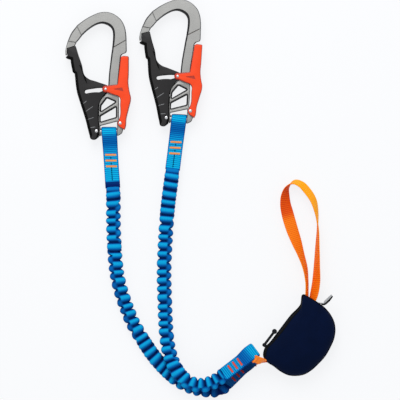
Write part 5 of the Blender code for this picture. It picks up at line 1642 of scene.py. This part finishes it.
@dataclass
class Tapes:
    """Orange tapes: the link through both lower eyes, and the tie-in loop."""
    lower_arms: tuple[StretchArm, StretchArm]
    link_width: float = 9.2 * MM
    link_thickness: float = 1.6 * MM
    tie_in_width: float = 15.0 * MM
    tie_in_thickness: float = 1.7 * MM

    # Heights between which the link tape comes into the light, and its light below them
    LINK_LIGHT = (0.009, 0.019)
    LINK_LEAST = 0.15
    # The link tape narrows by this share left of one place, and where it is low left of another
    TUCK_SHARE = 0.45
    TUCK_LEFT = (0.063, 0.058)
    TUCK_LOW = (0.015, 0.011)
    TUCK_RIGHT = (0.078, 0.072)
    # Shades along the tie-in loop: depth, and the shares of its length where each begins and ends
    TIE_IN_SHADES = ((0.42, (0.33, 0.37), (0.50, 0.455)), (0.08, (0.62, 0.72), (0.95, 0.85)))
    # Stations outside the eyes: place, and the direction of the tape's width
    TO_POUCH = (((0.0648, -0.1864, 0.0246), (0.25, 1.15, 0.3)),
                ((0.0690, -0.1884, 0.0236), (0.0, 1.1, 0.45)),
                ((0.0725, -0.1893, 0.0214), (0, 0.7, 0.75)),
                ((0.0760, -0.1894, 0.0185), (0, 0.2, 1)),
                ((0.0800, -0.1889, 0.0165), (0, 0, 1)), ((0.0885, -0.1850, 0.0150), (0, 0, 1)),
                ((0.0943, -0.1781, 0.0150), (0, 0, 1)))
    FROM_POUCH = (((0.0960, -0.1796, 0.0150), (0, 0, 1)), ((0.0890, -0.1868, 0.0146), (0, 0, 1)),
                  ((0.0800, -0.1903, 0.0130), (0, 0, 1)),
                  ((0.0760, -0.1908, 0.0112), (0, 0.1, 1)),
                  ((0.0720, -0.1908, 0.0092), (0.1, 0.4, 0.8)),
                  ((0.0670, -0.1895, 0.0072), (0.6, 0.6, 0.5)))
    # Stations in the eyes from each tunnel's middle: ahead, beyond, above
    UPPER_TUNNEL = ((0, 0.0100, 0.0006), (0, 0.0080, 0), (0.001, -0.0095, 0),
                    (0.001, -0.0102, -0.0004), (0.0008, -0.0104, -0.0022),
                    (0.0002, -0.0102, -0.0045))
    LOWER_TUNNEL = ((0.001, -0.0080, 0), (0, -0.0072, 0), (0, 0.0084, 0), (0.0004, 0.0092, 0))
    # Stations of the tie-in loop: place, and how far its width stands up from lying flat
    TIE_IN = (
        (0.1270, -0.1325, 0.0150, 80), (0.1260, -0.1215, 0.0150, 76),
        (0.1259, -0.0960, 0.0148, 76), (0.1239, -0.0802, 0.0142, 67),
        (0.1192, -0.0649, 0.0132, 57), (0.1139, -0.0496, 0.0120, 36),
        (0.1083, -0.0336, 0.0108, 18), (0.1036, -0.0173, 0.0098, 15),
        (0.1008, -0.0039, 0.0092, 33), (0.1007, 0.0052, 0.0090, 47),
        (0.1029, 0.0142, 0.0090, 71), (0.1069, 0.0189, 0.0091, 90),
        (0.1124, 0.0210, 0.0092, 112), (0.1193, 0.0184, 0.0092, 122),
        (0.1266, 0.0109, 0.0091, 126), (0.1334, 0.0006, 0.0090, 122),
        (0.1376, -0.0150, 0.0090, 107), (0.1390, -0.0313, 0.0092, 90),
        (0.1385, -0.0560, 0.0100, 75), (0.1379, -0.0761, 0.0112, 66),
        (0.1365, -0.1003, 0.0132, 54), (0.1335, -0.1150, 0.0146, 58),
        (0.1310, -0.1235, 0.0150, 78), (0.1312, -0.1357, 0.0150, 90))

    def eye_stations(self, arm: StretchArm, table: tuple) -> list:
        """Stations given from a lower eye's tunnel.

        Args:
            arm: The eye's arm.
            table: Stations ahead, beyond and above.

        Returns:
            Places and width directions.
        """
        place, forward, across, face = arm.lower_frame()
        back = arm.lower_half + arm.ply + arm.lower_straight / 2
        middle = place + forward * (arm.lower_length - back)
        return [(middle + forward * a + across * b + face * c, forward) for a, b, c in table]

    def link(self) -> Object:
        """Tape from the absorber through both lower eyes and back.

        Returns:
            The piece.
        """
        arm_a, arm_b = self.lower_arms
        stations = [*self.TO_POUCH[::-1], *self.eye_stations(arm_b, self.UPPER_TUNNEL),
                    *self.eye_stations(arm_a, self.LOWER_TUNNEL), *self.FROM_POUCH[::-1]]
        path = station_path(stations, self.link_width)
        place, height = path.centres[:, 0], path.centres[:, 2]
        shade = self.LINK_LEAST + (1 - self.LINK_LEAST) * ease(height, *self.LINK_LIGHT)
        tucked = np.maximum(ease(place, *self.TUCK_LEFT),
                            ease(height, *self.TUCK_LOW) * ease(place, *self.TUCK_RIGHT))
        width = self.link_width * (1 - self.TUCK_SHARE * tucked)
        return tape("woven_link_tape", path, width, self.link_thickness, [TAPE_TIGHT], 16, shade)

    def tie_in(self) -> Object:
        """Twisted loop; each station's width leans from flat by its own angle.

        Returns:
            The piece.
        """
        half = self.tie_in_width / 2
        curve = smooth(np.array(self.TIE_IN) * (1, 1, 1, math.radians(1) * half), 10)
        centres, tilts = curve[:, :3] + LAYOUT, curve[:, 3:] / half
        outward = unit_rows(-np.cross(unit_rows(np.gradient(centres, axis=0)), UP))
        path = Path(centres, outward * np.cos(tilts) + UP * np.sin(tilts))
        along = path.travel / path.length
        shade = 1 - sum(depth * ease(along, *start) * ease(along, *end)
                        for depth, start, end in self.TIE_IN_SHADES)
        # One face in the brighter amber copy, a painted light; the other in the orange
        return tape("woven_tie_in_loop", path, self.tie_in_width, self.tie_in_thickness,
                    [TAPE_LIT, TAPE], 20, shade, slots="faces")

    def build(self) -> None:
        """Makes both tapes and fixes them to the lanyard."""
        for piece, node in ((self.link(), "link_tape"), (self.tie_in(), "tie_in_loop")):
            fix(piece, "lanyard", "orange_tape", node)


@dataclass
class Pouch:
    """Domed fabric pouch of two panels, bound along its edge, with the folded webbing in it."""
    place: Place = (0.1168, -0.1605, 0.0)
    grid: float = 0.0944 / 80
    middle: float = 15.0 * MM
    wall: float = 1.6 * MM
    seam: float = 0.2 * MM
    binding_radius: float = 0.9 * MM
    dome_power: float = 2.6
    dome_root: float = 0.45
    gusset_share: float = 0.97
    facing_width: float = 2.9 * MM
    gusset_overlap: float = 2.2 * MM
    gusset_thickness: float = 0.8 * MM
    wrinkle: float = 0.35 * MM
    rim_steps: int = 8
    absorber_layers: int = 6
    absorber_pitch: float = 2.7 * MM
    absorber_half: float = 27 * MM
    absorber_turn_deg: float = 50.0
    webbing_width: float = 26 * MM
    webbing_thickness: float = 2.1 * MM

    # Rings of a panel, as shares of the way out from its middle: close to its rim, and the first,
    # last and number of the others
    EDGE_SHARES = (1.0, 0.992, 0.98, 0.96, 0.93)
    INNER_SHARES = (0.88, 0.02, 24)
    # The wrinkles: two waves' turns to the metre along X and Y, and their leads
    WRINKLES = ((160, 90, 0), (-60, 130, 1.3))
    # Points along a layer of the absorber, and round its turn with both ends
    ABSORBER_STEPS = (24, 10)
    # Heights of the facing over the panel, above and below, and the steps of its cloth map
    FACING_LIFTS = (0.35 * MM, -0.3 * MM)
    FACING_CLOTH = (1.2 * MM, 0.6 * MM)
    # Outline in grid squares, with half the gap between the panels in millimetres
    OUTLINE = (
        (4.5, 41.0, 8.0), (9.7, 38.6, 8.0), (15.3, 35.3, 8.0), (19.5, 32.4, 8.0),
        (26.3, 27.0, 0.2), (31.3, 20.6, 0.2), (34.4, 14.0, 0.2), (35.5, 6.5, 0.2),
        (34.4, -1.6, 0.2), (30.6, -10.8, 0.2), (25.2, -20, 0.2), (18.3, -27.6, 0.2),
        (11.4, -33.8, 0.2), (4.6, -37.6, 0.2), (-3.1, -38.9, 0.2), (-10.7, -38.2, 0.2),
        (-18.4, -34.5, 0.2), (-26, -28.6, 5.8), (-31.4, -25.2, 5.8), (-35.0, -20.5, 5.8),
        (-34.6, -14.5, 3.4), (-27, -4.5, 3.4), (-18, 7.5, 3.4), (-8, 20.5, 3.4),
        (1.9, 31.5, 3.4))
    CENTRE = (-1.0, -2.0)
    # First and last corner of the outline beside the zip
    ZIP_CORNERS = (19, 25)
    # The same for the gusset, in corners and parts of the way to the next
    GUSSET_CORNERS = (23.05, 24.4)

    def placed(self, points: Array) -> Array:
        """Points drawn about the pouch's middle, carried to their place."""
        return points + np.array(self.place) + LAYOUT

    def rim(self, corners: Spot | None = None) -> tuple[Array, Array]:
        """Rim's points in metres and half the gap at each, or those between two corners.

        Args:
            corners: First and last corner, or nothing for the whole rim.

        Returns:
            Points and half gaps.
        """
        table = np.array(self.OUTLINE) * (self.grid, self.grid, MM)
        curve = smooth(table, self.rim_steps, closed=True)[::-1]
        if corners:
            first, last = (int(self.rim_steps * corner) for corner in corners)
            curve = curve[len(curve) - 1 - np.arange(first, last)]
        return curve[:, :2], np.maximum(curve[:, 2], self.seam)

    def dome(self, rim: Array, gap: Array, share: Array,
             depth: float = 0.0) -> tuple[Array, Array]:
        """Panel's surface, whose height over the rim is a superellipse.

        Args:
            rim: The rim's points.
            gap: Half the gap between the panels at each.
            share: Shares of the way out from the middle.
            depth: Depth under the outer surface.

        Returns:
            Places in the plan and heights over the pouch's middle.
        """
        centre = np.array(self.CENTRE) * self.grid
        edge = rim + unit_rows(centre - rim) * depth
        rise = np.maximum(1 - share**self.dome_power, 0) ** self.dome_root
        return (centre + (edge - centre)[None] * share[..., None],
                gap[None, :] + (self.middle - depth - gap)[None, :] * rise)

    def panel(self, name: str, way: int) -> Object:
        """Domed panel with a wall and broad shallow wrinkles that die out at the rim.

        Args:
            name: Name of the piece.
            way: 1 for the front one, -1 for the back one.

        Returns:
            The piece.
        """
        rim, gap = self.rim()
        share = np.concatenate([self.EDGE_SHARES, np.linspace(*self.INNER_SHARES)])[:, None]
        shells = []
        for depth in (0.0, self.wall):
            flat, level = self.dome(rim, gap, share, depth)
            x, y = flat[..., 0], flat[..., 1]
            first, second = (np.sin(x * a + y * b + c) for a, b, c in self.WRINKLES)
            waves = first * second * share * (1 - share) * 4 * self.wrinkle
            height = self.middle + way * np.minimum(level + waves, self.middle - depth)
            shells.append(np.concatenate([flat, height[..., None]], axis=2))
        return skin(name, self.placed(np.vstack([shells[0][::-1], shells[1]])), [POUCH_CLOTH])

    def facing(self, name: str, way: int) -> Object:
        """Black tape sewn over a panel beside the zip: a slim lifted strip of the panel's rim.

        Args:
            name: Name of the piece.
            way: 1 for the front one, -1 for the back one.

        Returns:
            The piece.
        """
        rim, gap = self.rim(self.ZIP_CORNERS)
        reach = np.linalg.norm(rim - np.array(self.CENTRE) * self.grid, axis=1)
        share = 1 - np.linspace(0, self.facing_width, 8)[:, None] / reach
        flat, level = self.dome(rim, gap, share)
        layers = [np.concatenate([flat, (self.middle + way * (level + lift))[..., None]],
                                 axis=2) for lift in self.FACING_LIFTS]
        grid = np.swapaxes(np.vstack([layers[0], layers[1][::-1]]), 0, 1)
        cloth = cloth_map(np.arange(len(grid))[:, None] * self.FACING_CLOTH[0],
                          np.arange(grid.shape[1] + 1)[None, :] * self.FACING_CLOTH[1])
        return skin(name, self.placed(grid), [ZIP_TAPE], cloth=cloth)

    def gusset(self, name: str) -> Object:
        """Strip that closes the gap between the panels beyond the zip's upper end.

        Args:
            name: Name of the piece.

        Returns:
            The piece.
        """
        rim, gap = self.rim(self.GUSSET_CORNERS)
        centre = np.array(self.CENTRE) * self.grid
        flat = centre + (rim - centre) * self.gusset_share
        centres = self.placed(np.column_stack([flat, np.full(len(flat), self.middle)]))
        return tape(name, Path(centres, np.tile(UP, (len(flat), 1))),
                    2 * (gap + self.gusset_overlap), self.gusset_thickness, [ZIP_TAPE], 10)

    def binding(self, name: str, way: int) -> Object:
        """Binding round a panel's rim: a slim rounded welt.

        Args:
            name: Name of the piece.
            way: 1 for the front one, -1 for the back one.

        Returns:
            The piece.
        """
        rim, gap = self.rim()
        height = self.middle + way * np.maximum(gap, self.binding_radius)
        centres = self.placed(np.column_stack([rim, height]))
        ahead = unit_rows(np.roll(centres, -1, axis=0) - np.roll(centres, 1, axis=0))
        across = unit_rows(np.cross(ahead, UP))
        lift = np.cross(across, ahead)
        ring = circle((0, 0), self.binding_radius, 12)
        grid = (centres[:, None] + across[:, None] * ring[None, :, :1]
                + lift[:, None] * ring[None, :, 1:])
        around = np.linspace(0, math.tau * self.binding_radius, 13)[None, :]
        return skin(name, grid, [BINDING], wrap_rows=True,
                    cloth=cloth_map(travelled(centres)[:, None], around))

    def absorber(self) -> Object:
        """Tear webbing folded to and fro in six layers: one strap along a winding line.

        Returns:
            The piece.
        """
        layers, pitch = self.absorber_layers, self.absorber_pitch
        end = self.absorber_half - pitch / 2 - self.webbing_thickness / 2
        steps, bends = self.ABSORBER_STEPS
        turns = np.radians(np.linspace(-90, 90, bends))[1:-1]
        spots = []
        for layer in range(layers):
            base = (layer - (layers - 1) / 2) * pitch
            way = 1 if layer % 2 == 0 else -1
            run = np.linspace(-way * end, way * end, steps)
            spots.append(np.column_stack([run, np.full(steps, base)]))
            if layer < layers - 1:
                spots.append(np.column_stack([way * (end + pitch / 2 * np.cos(turns)),
                                              base + pitch / 2 + pitch / 2 * np.sin(turns)]))
        line = np.vstack(spots)
        along, across, _ = turning(self.absorber_turn_deg)
        centre = self.placed(np.array((0, 0, self.middle)))
        centres = centre + line[:, :1] * along + line[:, 1:] * UP
        path = Path(centres, np.tile(across, (len(centres), 1)))
        return tape("folded_tear_webbing", path, self.webbing_width, self.webbing_thickness,
                    [TAPE], 16, np.ones(len(centres)))

    def build(self) -> None:
        """Makes the pouch's pieces and fixes them to the lanyard."""
        for piece, slot, node in (
                (self.panel("domed_front_panel", 1), "navy_fabric", "pouch_front"),
                (self.panel("domed_back_panel", -1), "navy_fabric", "pouch_back"),
                (self.facing("front_zip_facing", 1), "zip_black", None),
                (self.facing("back_zip_facing", -1), "zip_black", None),
                (self.gusset("side_gusset"), "zip_black", None),
                (self.binding("front_edge_binding", 1), "zip_black", None),
                (self.binding("back_edge_binding", -1), "zip_black", None),
                (self.absorber(), "orange_tape", "absorber_webbing")):
            fix(piece, "lanyard", slot, node)


@dataclass
class Zip:
    """Zip along the pouch's edge: its teeth and tapes, the slider and the pull."""
    start: Place = (0.0776246, -0.177256, 0.015)
    turn_deg: float = 52.8
    length: float = 50.0 * MM
    tooth_pitch: float = 1.25 * MM
    tape_width: float = 5.0 * MM
    tape_thickness: float = 0.8 * MM
    tape_back: float = 2.2 * MM
    tape_gap: float = 0.15 * MM
    tooth_size: Spot = (1.5 * MM, 1.6 * MM)
    tooth_waist: float = 0.66

    def carried(self, points: Array) -> Array:
        """Points drawn along the zip's line, carried to their place."""
        return points @ turning(self.turn_deg) + np.array(self.start) + LAYOUT

    def chain(self) -> Object:
        """Meshed teeth: one toothed bar whose section swells and shrinks at each tooth.

        Returns:
            The piece.
        """
        count = int(self.length / self.tooth_pitch)
        x = np.repeat(np.arange(count * 2 + 1), 2)[1:-1] * self.tooth_pitch / 2
        size = np.where((np.arange(len(x)) // 2) % 2 == 0, 1.0, self.tooth_waist)
        ring = np.array(((1, .6), (.6, 1), (-.6, 1), (-1, .6), (-1, -.6), (-.6, -1), (.6, -1),
                         (1, -.6))) * self.tooth_size
        grid = np.concatenate([np.broadcast_to(x[:, None, None], (len(x), 8, 1)),
                               ring[None] * size[:, None, None]], axis=2)
        return skin("meshed_zip_teeth", self.carried(grid), [ZIP_BLACK])

    def tape(self, name: str, way: int) -> Object:
        """One of the zip's two tapes.

        Args:
            name: Name of the piece.
            way: 1 for the front one, -1 for the back one.

        Returns:
            The piece.
        """
        x = np.linspace(0, self.length, 24)
        middle = way * (self.tape_gap + self.tape_width / 2)
        centres = np.column_stack([x, np.full(24, -self.tape_back), np.full(24, middle)])
        path = Path(self.carried(centres), np.tile(UP, (24, 1)))
        return tape(name, path, self.tape_width, self.tape_thickness, [ZIP_TAPE], 10)

    def build(self) -> None:
        """Makes the zip's pieces and fixes them to their bodies."""
        for piece, node in ((self.chain(), "zip_chain"),
                            (self.tape("front_zip_tape", 1), "zip_tape_front"),
                            (self.tape("back_zip_tape", -1), "zip_tape_back")):
            fix(piece, "lanyard", "zip_black", node)
        dress_node("zip_slider", ZIP_BLACK)
        dress_node("zip_pull", ZIP_BLACK)


@dataclass
class LabelTab:
    """Bare grey tab sewn into the pouch's seam, with a black border along one edge."""
    width: float = 12.0 * MM
    thickness: float = 1.0 * MM
    ROUTE = (((0.1392, -0.1210, 0.0205), (0, 0.1, 1)), ((0.1425, -0.1214, 0.0205), (0, 0.1, 1)),
             ((0.1457, -0.1216, 0.0200), (-0.15, 0.35, 0.93)),
             ((0.1500, -0.1182, 0.0195), (-0.27, 0.36, 0.9)),
             ((0.1554, -0.1124, 0.0190), (-0.19, 0.27, 0.94)))

    def build(self) -> None:
        """Makes the tab and fixes it to the lanyard."""
        piece = tape("satin_label_tab", station_path(self.ROUTE, self.width), self.width,
                     self.thickness, [LABEL, BINDING], 12, slots="edge")
        fix(piece, "lanyard", "label_grey", "label_tab")


def arms() -> tuple[StretchArm, StretchArm]:
    """The two arms, with their eyes' places and the routes between them.

    Returns:
        Arm a and arm b.
    """
    route_a = ((-0.1022, -0.0307, 0.0066),
               (-0.1014, -0.0507, 0.0066), (-0.1001, -0.0708, 0.0066), (-0.0977, -0.0897, 0.0066),
               (-0.0930, -0.1086, 0.0066), (-0.0866, -0.1274, 0.0066), (-0.0784, -0.1469, 0.0066),
               (-0.0675, -0.1652, 0.0066), (-0.0566, -0.1817, 0.0066), (-0.0437, -0.1970, 0.0066),
               (-0.0290, -0.2104, 0.0066), (-0.0130, -0.2196, 0.0066), (0.0040, -0.2240, 0.0066),
               (0.0175, -0.2246, 0.0068))
    route_b = ((-0.0385, -0.0130, 0.0066),
               (-0.0399, -0.0307, 0.0066), (-0.0411, -0.0507, 0.0066), (-0.0421, -0.0708, 0.0066),
               (-0.0425, -0.0897, 0.0066), (-0.0420, -0.1086, 0.0066), (-0.0414, -0.1274, 0.0067),
               (-0.0406, -0.1463, 0.0074), (-0.0389, -0.1652, 0.0100), (-0.0356, -0.1815, 0.0140),
               (-0.0301, -0.1952, 0.0178), (-0.0222, -0.2070, 0.0200), (-0.0114, -0.2152, 0.0206),
               (0.0000, -0.2179, 0.0206), (0.0133, -0.2150, 0.0204))
    height = 9.7 * MM
    # Along each arm, as shares of its length: the side that the front ply comes from, the back
    # ply's painted light, and a painted shade over the whole tube
    plies_a = ((0, 0), (0.03, 0), (0.08, 1), (0.2, 1), (0.26, -1), (0.54, -1), (0.6, -0.5),
               (0.65, 0), (0.75, 0), (0.82, 1), (1, 1))
    plies_b = ((0, 0), (0.14, 0), (0.24, 1), (0.74, 1), (0.8, 0), (0.84, -1), (1, -1))
    unders_a = ((0, 0.55), (0.1, 0.6), (0.22, 0.75), (0.3, 0.5), (0.4, 0.42), (1, 0.42))
    unders_b = ((0, 0.45), (0.3, 0.5), (0.6, 0.6), (0.72, 0.62), (0.84, 0.85), (1, 0.75))
    tones_a = ((0, 1), (0.78, 1), (0.86, 0.6), (0.93, 0.3), (1, 0.25))
    return (StretchArm(Side.A, (-0.1070, 0.0802, height), 0.0, 3.7, (0.0297, -0.2182, 0.0070),
                       45.0, -20.0, route_a, plies_a, tones_a, unders_a, -0.6,
                       SHADED_WEBBING, TACK_SHADED, upper_length=72.3 * MM),
            StretchArm(Side.B, (-0.0248, 0.0951, height), -3.0, -7.2, (0.0266, -0.2063, 0.0202),
                       37.5, 25.0, route_b, plies_b, ((0, 1), (1, 1)), unders_b, 0.3,
                       WEBBING, TACK_RED, lower_bow=-0.8 * MM))


def main() -> None:
    """Builds the stage and every sub-assembly in order."""
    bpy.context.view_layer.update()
    Stage().build()
    pair = arms()
    for arm in pair:
        arm.build()
        Carabiner(arm.side, arm.bar, arm.bar_turn_deg).build()
    Tapes(pair).build()
    Pouch().build()
    Zip().build()
    LabelTab().build()


if __name__ == "__main__":
    main()
